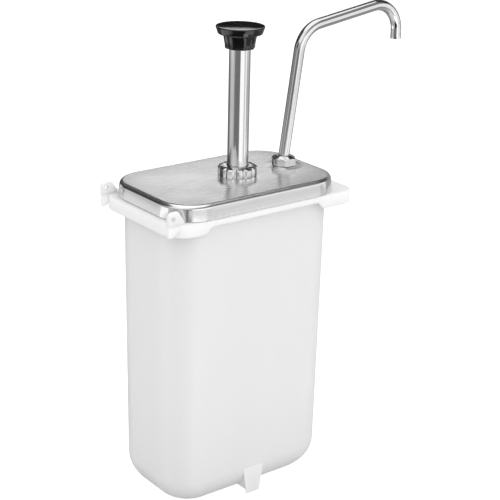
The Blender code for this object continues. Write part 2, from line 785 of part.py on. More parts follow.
def make_piston_nut(steel, axis):
    count = SMALL_TURN_STEPS
    corner = hexagon_reach(NUT_ACROSS, 0)
    rings = [
        hexagon_ring(NUT_ACROSS, corner, nut_top, count),
        hexagon_ring(NUT_ACROSS, corner, nut_bottom, count),
        hexagon_ring(NUT_ACROSS, stud_hole_r, nut_bottom, count),
        hexagon_ring(NUT_ACROSS, stud_hole_r, nut_top, count),
    ]
    ring_loft("piston_nut", rings, steel, axis)


def spring_path(top, bottom):
    """Points of the spring's centre line: one close coil at each end and even coils between."""
    points = []
    total = SPRING_COILS * SPRING_POINTS
    middle = (top - bottom - 2 * SPRING_END_PITCH) / (SPRING_COILS - 2)
    for i in range(total + 1):
        coil = i / SPRING_POINTS
        low = min(coil, 1.0) * SPRING_END_PITCH
        even = min(max(coil - 1.0, 0.0), SPRING_COILS - 2) * middle
        high = max(coil - (SPRING_COILS - 1), 0.0) * SPRING_END_PITCH
        angle = 2 * math.pi * coil
        z = bottom + low + even + high
        points.append(Vector((SPRING_R * math.cos(angle), SPRING_R * math.sin(angle), z)))
    return points


def make_spring(steel, axis):
    bottom = cup_floor + SEAT_GAP + SPRING_WIRE_R
    top = washer_bottom - SEAT_GAP - SPRING_WIRE_R
    points = spring_path(top, bottom)
    curve = bpy.data.curves.new("return_spring", "CURVE")
    curve.dimensions = "3D"
    curve.bevel_depth = SPRING_WIRE_R
    curve.bevel_resolution = 1
    curve.use_fill_caps = True
    spline = curve.splines.new("POLY")
    spline.points.add(len(points) - 1)
    for spot, point in zip(spline.points, points):
        spot.co = (*point, 1.0)
    curve.materials.append(steel)
    add_object("return_spring", curve, axis)
    apart = SPRING_POINTS // 2
    gaps = [
        (a - b).length
        for i, a in enumerate(points)
        for b in points[i + apart:]
    ]
    print("return_spring: least gap to itself %.2f mm" % (1000 * (min(gaps) - 2 * SPRING_WIRE_R)))


def make_valve_body(plastic, pump_axis, spout_axis):
    """Valve moulding: a cup for the barrel over the inlet valve, an arm and the outlet column."""
    flare_top = INLET_HEIGHT + INLET_BORE_LENGTH + VALVE_FLARE
    cup = [
        (valve_r, cup_rim),
        (valve_r, flare_top),
        (INLET_R, flare_top - VALVE_FLARE),
        (INLET_R, INLET_HEIGHT),
    ]
    body = turned_solid("valve_body", cup, plastic, pump_axis)
    start = (0, 0, gallery_z)
    end = (PUMP_SPACING, 0, gallery_z)
    join(body, rod("tool_arm", start, end, FLOW_R + GALLERY_WALL, SMALL_TURN_STEPS, plastic, pump_axis))
    column = [
        (column_r, column_top),
        (column_r, column_bottom),
        (column_r - COLUMN_WALL, column_bottom - COLUMN_WALL / 2),
    ]
    join(body, turned_solid("tool_column", column, plastic, spout_axis, SMALL_TURN_STEPS))

    groove_half = VALVE_RING_R + SEAL_GAP
    above = cup_rim + CUP_DEPTH
    below = INLET_HEIGHT - INLET_BORE_LENGTH
    inlet_bore = [
        (cup_bore_r, above),
        (cup_bore_r, valve_ring_z + groove_half),
        (valve_groove_r, valve_ring_z + groove_half),
        (valve_groove_r, valve_ring_z - groove_half),
        (cup_bore_r, valve_ring_z - groove_half),
        (cup_bore_r, cup_floor),
        (CHAMBER_R, cup_floor),
        (CHAMBER_R, chamber_bottom),
        (FLOW_R, inlet_seat),
        (FLOW_R, below),
    ]
    cut(body, turned_solid("tool_inlet_bore", inlet_bore, plastic, pump_axis))
    sump = gallery_z - FLOW_R - SUMP
    outlet_bore = [
        (OUTLET_CHAMBER_R, column_top + CUP_DEPTH),
        (OUTLET_CHAMBER_R, outlet_chamber),
        (FLOW_R, outlet_seat),
        (FLOW_R, sump),
    ]
    cut(body, turned_solid("tool_outlet_bore", outlet_bore, plastic, spout_axis, SMALL_TURN_STEPS))
    cut(body, rod("tool_gallery", start, end, FLOW_R - SUMP, ROD_STEPS, plastic, pump_axis))
    start = (0, -2 * valve_r, pin_z)
    end = (0, 2 * valve_r, pin_z)
    cut(body, rod("tool_pin_hole", start, end, PIN_R + SEAT_GAP, ROD_STEPS, plastic, pump_axis))


def make_valve_parts(steel, rubber, pump_axis, spout_axis):
    ring_r = barrel_r + SEAL_GAP + VALVE_RING_R
    o_ring("valve_o_ring", ring_r, valve_ring_z, VALVE_RING_R, rubber, pump_axis, TURN_STEPS)
    end = valve_r - PIN_INSET
    rod("inlet_pin", (0, -end, pin_z), (0, end, pin_z), PIN_R, ROD_STEPS, steel, pump_axis)
    balls = (("inlet_ball", pump_axis, inlet_ball_z), ("outlet_ball", spout_axis, outlet_ball_z))
    for name, axis, z in balls:
        bm = bmesh.new()
        bmesh.ops.create_uvsphere(bm, u_segments=ROD_STEPS, v_segments=BEND_STEPS + 2, radius=BALL_R)
        ball = add_mesh(name, bm, steel, axis)
        ball.location.z = z


def make_riser(steel, plastic, rubber, axis):
    """Riser tube and the bush that holds it, whose slotted foot stops the outlet ball."""
    stem_r = OUTLET_CHAMBER_R - SEAT_GAP
    ring_r = RISER_R + SEAL_GAP + RISER_RING_R
    groove_r = ring_r + RISER_RING_R + SEAL_GAP
    groove_half = RISER_RING_R + SEAL_GAP
    profile = [
        (RISER_FLANGE_R, riser_flange_top),
        (RISER_FLANGE_R, riser_flange_bottom),
        (stem_r, riser_flange_bottom),
        (stem_r, ball_stop_z),
        (FLOW_R, ball_stop_z),
        (FLOW_R, riser_socket_floor),
        (riser_socket_r, riser_socket_floor),
        (riser_socket_r, riser_ring_z - groove_half),
        (groove_r, riser_ring_z - groove_half),
        (groove_r, riser_ring_z + groove_half),
        (riser_socket_r, riser_ring_z + groove_half),
        (riser_socket_r, riser_flange_top),
    ]
    bush = turned("riser_fitting", profile, plastic, axis, SMALL_TURN_STEPS)
    half = SLOT_WIDTH / 2
    slot_top = ball_stop_z + SLOT_DEPTH
    slot_low = ball_stop_z - SLOT_DEPTH
    corners = [(-half, slot_low), (half, slot_low), (half, slot_top), (-half, slot_top)]
    points = [Vector((x, -column_r, z)) for x, z in corners]
    cut(bush, prism("tool_slot", points, (0, 1, 0), 2 * column_r, plastic, axis))
    o_ring("riser_o_ring", ring_r, riser_ring_z, RISER_RING_R, rubber, axis)
    riser = tube_profile(RISER_R, RISER_R - RISER_WALL, riser_top, riser_bottom)
    turned("riser_tube", riser, steel, axis, SMALL_TURN_STEPS)


def make_fitting(steel, rubber, axis):
    """Stem through the cover's boss, with the riser's socket below and the spout's above."""
    ring_pocket_r = SPOUT_R + SEAL_GAP + 2 * SPOUT_RING_R + SEAL_GAP
    profile = [
        (STEM_R, stem_top),
        (STEM_R, fitting_flange_top),
        (fitting_r, fitting_flange_top),
        (fitting_r, fitting_flange_bottom),
        (FITTING_BARREL_R, fitting_flange_bottom),
        (FITTING_BARREL_R, fitting_bottom),
        (riser_socket_r, fitting_bottom),
        (riser_socket_r, web_bottom),
        (FLOW_R, web_bottom),
        (FLOW_R, web_top),
        (spout_socket_r, web_top),
        (spout_socket_r, spout_ring_floor),
        (ring_pocket_r, spout_ring_floor),
        (ring_pocket_r, stem_top),
    ]
    turned("discharge_fitting", profile, steel, axis, SMALL_TURN_STEPS)
    gasket = tube_profile(fitting_r, stem_hole_r, fitting_gasket_top, fitting_gasket_top - FITTING_GASKET_T)
    turned("fitting_gasket", gasket, rubber, axis, SMALL_TURN_STEPS)


def make_coupling_nut(steel, axis):
    """The coupling nut: a hexagon whose top is turned to a cone that rises to the spout."""
    count = SMALL_TURN_STEPS
    corner = hexagon_reach(COUPLING_ACROSS, 0)
    flat = COUPLING_ACROSS / 2
    slope = COUPLING_CONE / (corner - COUPLING_TOP_R)
    roof_under = coupling_top - COUPLING_ROOF
    rings = [
        hexagon_ring(COUPLING_ACROSS, corner - COUPLING_CHAMFER, coupling_bottom, count),
        hexagon_ring(COUPLING_ACROSS, corner, coupling_bottom + COUPLING_CHAMFER, count),
        hexagon_ring(COUPLING_ACROSS, corner, coupling_top - COUPLING_CONE, count),
        hexagon_ring(COUPLING_ACROSS, flat, coupling_top - slope * (flat - COUPLING_TOP_R), count),
        hexagon_ring(COUPLING_ACROSS, COUPLING_TOP_R, coupling_top, count),
        hexagon_ring(COUPLING_ACROSS, spout_socket_r, coupling_top, count),
        hexagon_ring(COUPLING_ACROSS, spout_socket_r, roof_under, count),
        hexagon_ring(COUPLING_ACROSS, stem_hole_r, roof_under, count),
        hexagon_ring(COUPLING_ACROSS, stem_hole_r, coupling_bottom, count),
    ]
    ring_loft("coupling_nut", rings, steel, axis)


def rounded_path(corners, radii):
    """A path of (x, z) points through corners, each inner corner rounded by its radius."""
    points = [corners[0]]
    for before, here, after, radius in zip(corners, corners[1:], corners[2:], radii):
        start = (before - here).normalized()
        end = (after - here).normalized()
        half = start.angle(end) / 2
        centre = here + (start + end).normalized() * (radius / math.sin(half))
        first = here + start * (radius / math.tan(half)) - centre
        last = here + end * (radius / math.tan(half)) - centre
        sweep = first.angle(last)
        steps = max(2, round(BEND_STEPS * sweep / (math.pi / 2)))
        for i in range(steps + 1):
            share = i / steps
            mixed = first * math.sin((1 - share) * sweep) + last * math.sin(share * sweep)
            points.append(centre + mixed / math.sin(sweep))
    points.append(corners[-1])
    return points


def spout_path():
    """Centre line of the spout in the XZ plane, from its foot in the fitting to its outlet."""
    knee_z = lid_top + SPOUT_KNEE_HEIGHT
    knee_x = (knee_z - coupling_top) * math.tan(SPOUT_LEAN)
    elbow_z = knee_z + (SPOUT_REACH - knee_x) * math.tan(SPOUT_ARM_RISE)
    corners = [
        Vector((0, 0, spout_bottom)),
        Vector((0, 0, coupling_top)),
        Vector((knee_x, 0, knee_z)),
        Vector((SPOUT_REACH, 0, elbow_z)),
        Vector((SPOUT_REACH, 0, lid_top + SPOUT_TIP_HEIGHT)),
    ]
    return rounded_path(corners, (SPOUT_FOOT_BEND_R, SPOUT_BEND_R, SPOUT_BEND_R))


def make_spout(steel, rubber, axis):
    path = spout_path()
    sideways = Vector((0, 1, 0))
    rings = []
    for radius, points in ((SPOUT_R, path), (SPOUT_R - SPOUT_WALL, path[::-1])):
        for point in points:
            place = path.index(point)
            along = (path[min(place + 1, len(path) - 1)] - path[max(place - 1, 0)]).normalized()
            if place in (0, len(path) - 1):
                along = Vector((0, 0, 1 if place == 0 else -1))
            across = sideways.cross(along)
            ring = []
            for i in range(TUBE_SIDES):
                angle = 2 * math.pi * i / TUBE_SIDES
                ring.append(point + radius * (math.cos(angle) * across + math.sin(angle) * sideways))
            rings.append(ring)
    ring_loft("spout_tube", rings, steel, axis)
    ferrule = tube_profile(STEM_R - SEAT_GAP, spout_socket_r, ferrule_top, ferrule_bottom)
    turned("spout_ferrule", ferrule, steel, axis, SMALL_TURN_STEPS)
    ring_r = SPOUT_R + SEAL_GAP + SPOUT_RING_R
    ring_z = spout_ring_floor + SEAL_GAP + SPOUT_RING_R
    o_ring("spout_o_ring", ring_r, ring_z, SPOUT_RING_R, rubber, axis)


def main():
    clear_scene()
    milky = make_material("milky_plastic", (0.86, 0.86, 0.86), 0.42)
    brushed = make_material("brushed_steel", (0.66, 0.66, 0.66), 0.26, 1.0)
    bright = make_material("bright_steel", (0.72, 0.72, 0.72), 0.12, 1.0)
    black = make_material("black_plastic", (0.012, 0.012, 0.012), 0.25)
    white = make_material("white_plastic", (0.78, 0.78, 0.76), 0.40)
    rubber = make_material("seal_rubber", (0.03, 0.03, 0.03), 0.65)
    pump_axis = add_axis("pump_axis", pump_x)
    spout_axis = add_axis("spout_axis", spout_x)
    make_jar(milky)
    make_lid(brushed, pump_axis, spout_axis)
    make_barrel(bright, rubber, pump_axis)
    make_collar(bright, pump_axis)
    make_bushing(white, pump_axis)
    make_knob(black, pump_axis)
    make_plunger(bright, white, rubber, pump_axis)
    make_piston_nut(bright, pump_axis)
    make_spring(bright, pump_axis)
    make_valve_body(white, pump_axis, spout_axis)
    make_valve_parts(bright, rubber, pump_axis, spout_axis)
    make_riser(bright, white, rubber, spout_axis)
    make_fitting(bright, rubber, spout_axis)
    make_coupling_nut(bright, spout_axis)
    make_spout(bright, rubber, spout_axis)


main()
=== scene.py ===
"""Looks of the condiment pump dispenser.

Fine shells over the solids, finishes of steel and plastic, a white studio and the photograph's camera.
"""

import json
import math

import bmesh
import bpy
from mathutils import Matrix, Vector


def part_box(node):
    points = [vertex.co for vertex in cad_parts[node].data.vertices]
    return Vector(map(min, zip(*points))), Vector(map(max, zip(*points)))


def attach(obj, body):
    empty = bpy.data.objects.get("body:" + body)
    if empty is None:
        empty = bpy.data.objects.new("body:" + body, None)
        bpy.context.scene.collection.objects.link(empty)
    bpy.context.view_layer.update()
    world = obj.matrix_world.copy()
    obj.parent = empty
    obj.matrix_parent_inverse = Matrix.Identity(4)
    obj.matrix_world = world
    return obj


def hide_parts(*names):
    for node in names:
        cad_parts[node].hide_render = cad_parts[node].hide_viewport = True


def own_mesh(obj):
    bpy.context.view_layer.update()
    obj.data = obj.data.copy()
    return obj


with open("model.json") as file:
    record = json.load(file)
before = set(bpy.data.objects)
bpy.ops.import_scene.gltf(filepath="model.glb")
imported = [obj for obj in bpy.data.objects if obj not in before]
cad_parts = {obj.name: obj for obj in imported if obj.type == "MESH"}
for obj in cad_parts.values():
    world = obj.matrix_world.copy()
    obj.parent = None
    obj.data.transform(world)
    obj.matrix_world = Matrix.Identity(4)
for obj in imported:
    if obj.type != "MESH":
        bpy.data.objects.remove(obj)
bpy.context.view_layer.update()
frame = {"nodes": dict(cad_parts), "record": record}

# Camera, found from the photograph's outlines; lens and sensor in millimetres
CAMERA_PLACE = Vector((-0.6354, -0.8521, 0.5939))
CAMERA_YAW = math.radians(37.80)
CAMERA_PITCH = math.radians(20.16)
CAMERA_ROLL = math.radians(1.40)
CAMERA_LENS = 100.33
SENSOR_WIDTH = 36

# Gaps between pieces that rest on or slide in each other
SEAT_GAP = 0.0003
REST_GAP = 0.00005

# Jar
JAR_WALL = 0.0025
JAR_TAPER = 0.0017
JAR_CORNER_R = 0.0268
JAR_BOTTOM_R = 0.0290
JAR_FLOOR_CORNER_R = 0.0140
FLANGE_FRONT = 0.0125
FLANGE_SIDE = 0.0068
FLANGE_BACK_R = 0.0200
FLANGE_FRONT_R = 0.0120
FLANGE_T = 0.0030
FLANGE_EDGE_R = 0.0011
FLANGE_FILLET = 0.0015
LIP_T = 0.0030
LIP_FILLET = 0.0006
LIP_EDGE_R = 0.0009
LIP_DEPTH = 0.0108
LIP_SIDE_DEPTH = 0.0052
LIP_SIDE_LENGTH = 0.1040
LIP_SIDE_SLOPE = 0.0060
RIM_HEIGHT = 0.0040
RIM_T = 0.0018
RIM_CLEARANCE = 0.0008
RIM_EDGE_R = 0.0006
EAR_OUT = 0.0024
EAR_SPACING = 0.0930
EAR_T = 0.0038
EAR_LENGTH = 0.0142
EAR_ROUND_R = 0.0042
EAR_TOP_LENGTH = 0.0086
EAR_TOE_HEIGHT = 0.0022
EAR_LIFT = 0.0014
EAR_HOLE_R = 0.0019
EAR_HOLE_HEIGHT = 0.0052
EAR_EDGE_R = 0.0006
FOOT_WIDTH = 0.0130
FOOT_SPREAD = 0.0036
FOOT_TOP = 0.0250
FOOT_LIFT = 0.0012
FOOT_PLATE_T = 0.0016
FOOT_RIB_DEPTH = 0.0130
FOOT_RIB_LIFT = 0.0046
FOOT_RIB_INSET = 0.0004
FOOT_EDGE_R = 0.0004

# Cover
LID_CORNER_R = 0.0290
LID_DRAFT = 0.0011
LID_BEND_R = 0.0036
LID_SHEET = 0.0010
LID_EDGE_R = 0.0003
BOSS_R = 0.0165
BOSS_TOP_R = 0.0092
BOSS_HEIGHT = 0.0005
PUMP_HOLE_R = 0.01305
STEM_HOLE_R = 0.0071

# Collar
COLLAR_FLUTES = 12
COLLAR_FLUTE_DEPTH = 0.0012
COLLAR_DOME = 0.0019
COLLAR_EDGE_R = 0.0003
COLLAR_ROOF = 0.0020
COLLAR_TUBE_GAP = 0.0004

# Plunger tube and knob
TUBE_WALL = 0.0010
TUBE_EDGE_R = 0.0002
TUBE_STRAIGHT = 0.0010
KNOB_RIM_HEIGHT = 0.0067
KNOB_RIM_TAPER = 0.0014
KNOB_TOP_ROUND = 0.0007
KNOB_LOW_ROUND = 0.0015
KNOB_CROWN = 0.0004
KNOB_NECK_TOP_R = 0.0135
KNOB_NECK_R = 0.0122
KNOB_NECK_FILLET = 0.0010
KNOB_FOOT_SHARE = 0.125
KNOB_FLUTES = 8
KNOB_FLUTE_DEPTH = 0.0008
KNOB_SOCKET_DEPTH = 0.0090
KNOB_STUD_R = 0.0042
KNOB_STUD_DEPTH = 0.0063

# Coupling nut and spout
NUT_CHAMFER = 0.0004
NUT_ROOF = 0.0026
NUT_CONE = 0.0025
NUT_TOP_R = 0.0058
NUT_BORE_R = 0.0048
SPOUT_WALL = 0.0012
SPOUT_LEAN = math.radians(8.35)
SPOUT_KNEE_HEIGHT = 0.11076
SPOUT_ARM_RISE = math.radians(8.7)
SPOUT_TIP_HEIGHT = 0.0923
SPOUT_BEND_R = 0.0235
SPOUT_FOOT_BEND_R = 0.0200
SPOUT_EDGE_R = 0.0003

# Return spring
SPRING_WIRE_R = 0.0007
SPRING_COILS = 16
SPRING_END_PITCH = 0.0022

# Fineness
CORNER_STEPS = 14
LONG_STEPS = 60
END_STEPS = 14
FILLET_STEPS = 4
EDGE_SEGMENTS = 3
ROUND_PROFILE = 0.5
BEND_STEPS = 14
BOTTOM_STEPS = 20
WALL_STEPS = 10
TURN_STEPS = 96
FLUTE_STEPS = 20
TUBE_SIDES = 48
SPRING_POINTS = 28
WIRE_SIDES = 12
SHARP_ANGLE = math.radians(32)

# Finishes. Cells are per metre, for all axes or for X, Y and Z. Tint and rough are ranges over a noise.
# Depth is the height of a bump in metres. Worn is the cells, the tint and the roughness of rubbed edges.
NOISE_LOW = 0.3
NOISE_HIGH = 0.7
WEAR_START = 0.53
WEAR_FULL = 0.62
WEAR_LEAST = 0.3

# Milky plastic; the jar's grey goes by share of its height, with painted light and shade in it
# Painted shade: the wall is darker towards the bottom
WALL_PAINTED_SHADE = ((0.0, 0.78), (0.12, 0.79), (0.35, 0.83), (0.60, 0.84), (0.91, 0.84))
# Painted light on the lip's side, a darker band of painted shade at the flange's top under the cover's
# skirt, then the rim and ears
LIP_PAINTED_LIGHT_AND_SHADE = ((0.93, 0.91), (0.956, 0.91), (0.961, 0.74), (0.970, 0.81), (1.0, 0.81))
FLOW_CELLS = (18, 18, 7)
FLOW_TINT = (0.98, 1.0)
FLOW_DEPTH = 0.00015
MILKY_CELLS = (60, 60, 25)
MILKY_ROUGH = (0.36, 0.50)
MILKY_GRAIN_CELLS = 1400
MILKY_GRAIN_DEPTH = 0.000012
MILKY_WORN = (160, 0.87, 0.60)
MILKY_SCATTER = 0.6
MILKY_SCATTER_DEPTH = 0.004
MILKY_IOR = 1.49

# Brushed steel; sheen is the share of roughness left on the cover's skirt, and painted shade the share of
# brightness left there, a painted shade that fades over two shares of the bend's radius below the cover's
# top
BRUSH_CELLS = (25, 2600, 2600)
BRUSH_TINT = (0.88, 0.94)
BRUSH_ROUGH = (0.20, 0.27)
BRUSH_DEPTH = 0.000006
HANDLING_CELLS = 30
HANDLING_ROUGH = (0.0, 0.05)
HANDLING_DEPTH = 0.00004
BRUSHED_WORN = (400, 0.86, 0.24)
SKIRT_SHEEN = 0.33
SKIRT_PAINTED_SHADE = 0.75
PAINTED_SHADE_BOTTOM = 0.50
PAINTED_SHADE_TOP = 0.15

# Bright steel
DRAWN_CELLS = (2600, 2600, 25)
DRAWN_TINT = (0.63, 0.68)
DRAWN_ROUGH = (0.06, 0.12)
DRAWN_DEPTH = 0.000003
SMUDGE_CELLS = (70, 70, 40)
SMUDGE_ROUGH = (0.0, 0.05)
SMUDGE_DEPTH = 0.00002
BRIGHT_WORN = (500, 0.72, 0.26)

# Black plastic
DUST_CELLS = 220
DUST_TINT = (0.003, 0.007)
DUST_ROUGH = (0.0, 0.03)
SCRATCH_CELLS = (150, 1800, 1800)
SCRATCH_ROUGH = (0.02, 0.06)
SCRATCH_DEPTH = 0.000004
SINK_CELLS = 90
SINK_DEPTH = 0.00006
BLACK_WORN = (350, 0.035, 0.30)
BLACK_IOR = 1.5

# White plastic
MOTTLE_CELLS = 120
MOTTLE_TINT = (0.70, 0.78)
MOTTLE_ROUGH = (0.34, 0.48)
MOTTLE_DEPTH = 0.00003
WHITE_GRAIN_CELLS = 900
WHITE_GRAIN_DEPTH = 0.00001
WHITE_WORN = (400, 0.82, 0.60)

# Rubber
BLOOM_CELLS = 160
BLOOM_TINT = (0.020, 0.045)
BLOOM_ROUGH = (0.55, 0.75)
RUBBER_GRAIN_CELLS = 1100
RUBBER_GRAIN_DEPTH = 0.00002
RUBBER_WORN = (500, 0.070, 0.85)

# Studio. Levels are what the steel mirrors: stops of degrees round the object and brightness there, with
# 0 degrees on the camera's side and positive to its right. Soft boxes stand to the left and the right
# with dark gaps between, over a floor and under a top light.
FLOOR_LEVELS = ((-180, 0.35), (-100, 0.60), (-60, 0.95), (60, 0.95), (100, 0.45), (180, 0.35))
UNDER_LEVELS = (
    (-180, 0.10), (-116, 0.20), (-104, 0.55), (-52, 0.55), (-46, 0.04), (17, 0.04), (21, 3.00),
    (42, 3.00), (46, 0.50), (78, 0.50), (84, 0.36), (130, 0.36), (150, 0.50), (180, 0.15),
)
NECK_LEVELS = (
    (-180, 0.10), (-116, 0.25), (-104, 1.80), (-60, 1.80), (-38, 0.45), (-33, 0.05), (22, 0.05),
    (29, 1.90), (66, 1.90), (74, 0.60), (84, 0.40), (128, 0.40), (150, 0.30), (180, 0.10),
)
LOW_LEVELS = (
    (-180, 0.19), (-114, 0.19), (-104, 0.66), (-84, 0.72), (-56, 0.66), (-46, 0.23), (8, 0.23), (13, 1.50),
    (52, 1.50), (55, 0.85), (69, 0.85), (72, 1.45), (106, 1.45), (113, 0.46), (150, 0.46), (180, 0.19),
)
MIDDLE_LEVELS = (
    (-180, 0.02), (-170, 0.02), (-160, 0.06), (-112, 0.06), (-104, 0.30), (-70, 0.34), (-60, 0.64),
    (-38, 0.60), (-24, 0.20), (8, 0.20), (13, 1.50), (66, 1.50), (74, 1.10), (96, 1.25),
    (106, 1.25), (113, 0.45), (140, 0.30), (168, 0.20), (171, 0.02), (180, 0.02),
)
BACKDROP_LEVELS = (
    (-180, 1.54), (-177, 1.64), (-174.5, 1.39), (-168, 0.58), (-160, 0.06), (-94, 0.06), (-76, 0.95),
    (-26, 0.95), (-10, 0.60), (14, 0.46), (26, 1.50), (104, 1.25), (112, 0.30), (140, 0.36),
    (168, 0.62), (177, 0.86), (180, 1.54),
)
GAP_LEVELS = (
    (-180, 0.10), (-76, 0.06), (-58, 1.20), (-16, 1.25), (6, 0.95),
    (18, 0.70), (32, 0.42), (100, 0.22), (108, 0.05), (180, 0.05),
)
TOP_LEVELS = ((-180, 1.40), (180, 1.40))
# Each band of levels with the heights in degrees over which it takes over from the one below
BANDS = (
    (UNDER_LEVELS, -48, -42),
    (NECK_LEVELS, -32, -29),
    (LOW_LEVELS, -22, -19),
    (MIDDLE_LEVELS, -4.5, -3),
    (BACKDROP_LEVELS, 13.2, 15.2),
    (GAP_LEVELS, 19.5, 24.0),
    (TOP_LEVELS, 55, 58),
)
# Reflectors and flags for the cover's skirt and the spout's knee: level, degrees round and degrees
# above the horizon, with the softness of their edges both ways
PATCHES = (
    (1.00, (-125, -100), (-11.8, -8.4)),
    (1.50, (-98, -66), (-11.4, -8.4)),
    (0.62, (-62, -8), (-9.2, -4.6)),
    (0.88, (0, 17), (-9.2, -5.2)),
    (1.00, (14, 62), (-9.6, -5.4)),
    (0.88, (58, 86), (-10.2, -5.6)),
    (0.66, (84, 118), (-10.6, -6.0)),
    (0.50, (84, 108), (-15.8, -11.8)),
    (0.06, (-150, -100), (4.5, 16.0)),
    (0.62, (-66, -22), (4.5, 13.5)),
    (0.42, (-18, 4), (4.5, 13.5)),
)
PATCH_EDGE = 3.0
PATCH_RISE_EDGE = 0.8
# Light on matt surfaces, and the floor
DIFFUSE_LEVELS = (
    (-180, 1.28), (-130, 1.09), (-90, 1.13), (0, 1.36), (50, 1.50), (110, 1.29), (180, 1.28),
)
FLOOR_R = 4.0
FLOOR_BASE = 0.20
FLOOR_GLOW = 0.38

# Places and sizes taken from the solids
jar_low, jar_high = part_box("fountain_jar")
lid_low, lid_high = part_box("lid_cover")
collar_low, collar_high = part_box("lock_collar")
tube_low, tube_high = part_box("plunger_tube")
knob_low, knob_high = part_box("knob")
nut_low, nut_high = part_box("coupling_nut")
spout_low, spout_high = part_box("spout_tube")
spring_low, spring_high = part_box("return_spring")

jar_top = lid_low.z - SEAT_GAP
rim_top = jar_top + RIM_HEIGHT
flange_under = jar_top - FLANGE_T
flange_back_x = jar_low.x + EAR_OUT
flange_front_x = jar_high.x
flange_half_y = jar_high.y
jar_half_x = flange_front_x - FLANGE_FRONT
jar_half_y = flange_half_y - FLANGE_SIDE
lid_half_x = lid_high.x
lid_half_y = lid_high.y
lid_top = lid_high.z - BOSS_HEIGHT
pump_x = (collar_low.x + collar_high.x) / 2
spout_x = (nut_low.x + nut_high.x) / 2
collar_r = collar_high.y
tube_r = tube_high.y
knob_r = knob_high.y
spout_r = spout_high.y
nut_across = 2 * nut_high.y


# Mesh building

def make_object(name, bm):
    """An object from a bmesh, shaded smooth apart from edges that turn by more than the sharp angle."""
    bmesh.ops.recalc_face_normals(bm, faces=bm.faces[:])
    mesh = bpy.data.meshes.new(name)
    bm.to_mesh(mesh)
    bm.free()
    mesh.shade_smooth()
    mesh.set_sharp_from_angle(angle=SHARP_ANGLE)
    obj = bpy.data.objects.new(name, mesh)
    bpy.context.scene.collection.objects.link(obj)
    return obj


def loft(name, rings, ends):
    """Faces through rings of equal count; ends is "capped", or "looped" from the last ring to the first."""
    bm = bmesh.new()
    rows = [[bm.verts.new(point) for point in ring] for ring in rings]
    pairs = list(zip(rows, rows[1:]))
    if ends == "looped":
        pairs.append((rows[-1], rows[0]))
    for lower, upper in pairs:
        for i in range(len(lower)):
            j = (i + 1) % len(lower)
            bm.faces.new((lower[i], lower[j], upper[j], upper[i]))
    if ends == "capped":
        bm.faces.new(rows[0])
        bm.faces.new(rows[-1])
    return make_object(name, bm)


def quarter(steps=FILLET_STEPS):
    """Sine and cosine along a quarter turn."""
    angles = [math.pi / 2 * i / steps for i in range(steps + 1)]
    return [(math.sin(angle), math.cos(angle)) for angle in angles]


def eased(share):
    """A share from 0 to 1 that starts and ends gently."""
    return share * share * (3 - 2 * share)


def circle(x, radius, z, steps=TURN_STEPS):
    """Points round a vertical axis at x."""
    angles = [2 * math.pi * i / steps for i in range(steps)]
    return [Vector((x + radius * math.cos(a), radius * math.sin(a), z)) for a in angles]


def outline(low_x, high_x, half_y, low_r, high_r):
    """Points round a rectangle with round corners, spread along its sides as well as its corners."""
    corners = (
        (high_x - high_r, half_y - high_r, high_r, 0),
        (low_x + low_r, half_y - low_r, low_r, 1),
        (low_x + low_r, low_r - half_y, low_r, 2),
        (high_x - high_r, high_r - half_y, high_r, 3),
    )
    arcs = []
    for x, y, radius, turn in corners:
        angles = [(turn + i / CORNER_STEPS) * math.pi / 2 for i in range(CORNER_STEPS + 1)]
        arcs.append([Vector((x + radius * math.cos(a), y + radius * math.sin(a), 0)) for a in angles])
    points = []
    for arc, after, steps in zip(arcs, arcs[1:] + arcs[:1], (LONG_STEPS, END_STEPS) * 2):
        points += arc
        points += [arc[-1].lerp(after[0], i / steps) for i in range(1, steps)]
    return points


def raised(points, height):
    """Points lifted to a height, which may be a function of the point."""
    if callable(height):
        return [Vector((p.x, p.y, height(p))) for p in points]
    return [Vector((p.x, p.y, height)) for p in points]


def prism(name, points, along, edge_r):
    """A flat outline pushed along a direction, with its two outlines' edges rounded."""
    bm = bmesh.new()
    face = bm.faces.new([bm.verts.new(point) for point in points])
    pushed = bmesh.ops.extrude_face_region(bm, geom=[face])
    moved = [item for item in pushed["geom"] if isinstance(item, bmesh.types.BMVert)]
    bmesh.ops.translate(bm, verts=moved, vec=along)
    across = Vector(along).normalized()
    rims = [e for e in bm.edges if abs((e.verts[0].co - e.verts[1].co).dot(across)) < edge_r / 2]
    bmesh.ops.bevel(
        bm,
        geom=rims,
        offset=edge_r,
        segments=EDGE_SEGMENTS,
        profile=ROUND_PROFILE,
        affect="EDGES",
        clamp_overlap=True,
    )
    return make_object(name, bm)


def combine(body, *steps):
    """Booleans on body, each an operation and a tool object; the tools are used up."""
    for operation, tool in steps:
        modifier = body.modifiers.new(tool.name, "BOOLEAN")
        modifier.operation = operation
        modifier.solver = "EXACT"
        modifier.object = tool
    depsgraph = bpy.context.evaluated_depsgraph_get()
    mesh = bpy.data.meshes.new_from_object(body.evaluated_get(depsgraph))
    body.modifiers.clear()
    body.data = mesh
    mesh.shade_smooth()
    mesh.set_sharp_from_angle(angle=SHARP_ANGLE)
    for _, tool in steps:
        bpy.data.objects.remove(tool, do_unlink=True)


def dress(piece, body, material, slot, *nodes):
    """Material, body and replaced nodes of a finished piece."""
    piece.data.materials.clear()
    piece.data.materials.append(material)
    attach(piece, body)
    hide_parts(*nodes)


# Jar

def body_ring(wall, draw, z):
    """A ring of the wall, wall deep from the outside and drawn in further towards the floor."""
    shrink = JAR_CORNER_R - JAR_FLOOR_CORNER_R
    corner = JAR_CORNER_R - wall - shrink * draw / (JAR_TAPER + JAR_BOTTOM_R - wall)
    half_x = jar_half_x - wall - draw
    half_y = jar_half_y - wall - draw
    return raised(outline(-half_x, half_x, half_y, corner, corner), z)


def flange_ring(inset, z):
    """A ring of the flange and its lip, set in from the outermost outline."""
    points = outline(
        flange_back_x + inset,
        flange_front_x - inset,
        flange_half_y - inset,
        FLANGE_BACK_R - inset,
        FLANGE_FRONT_R - inset,
    )
    return raised(points, z)


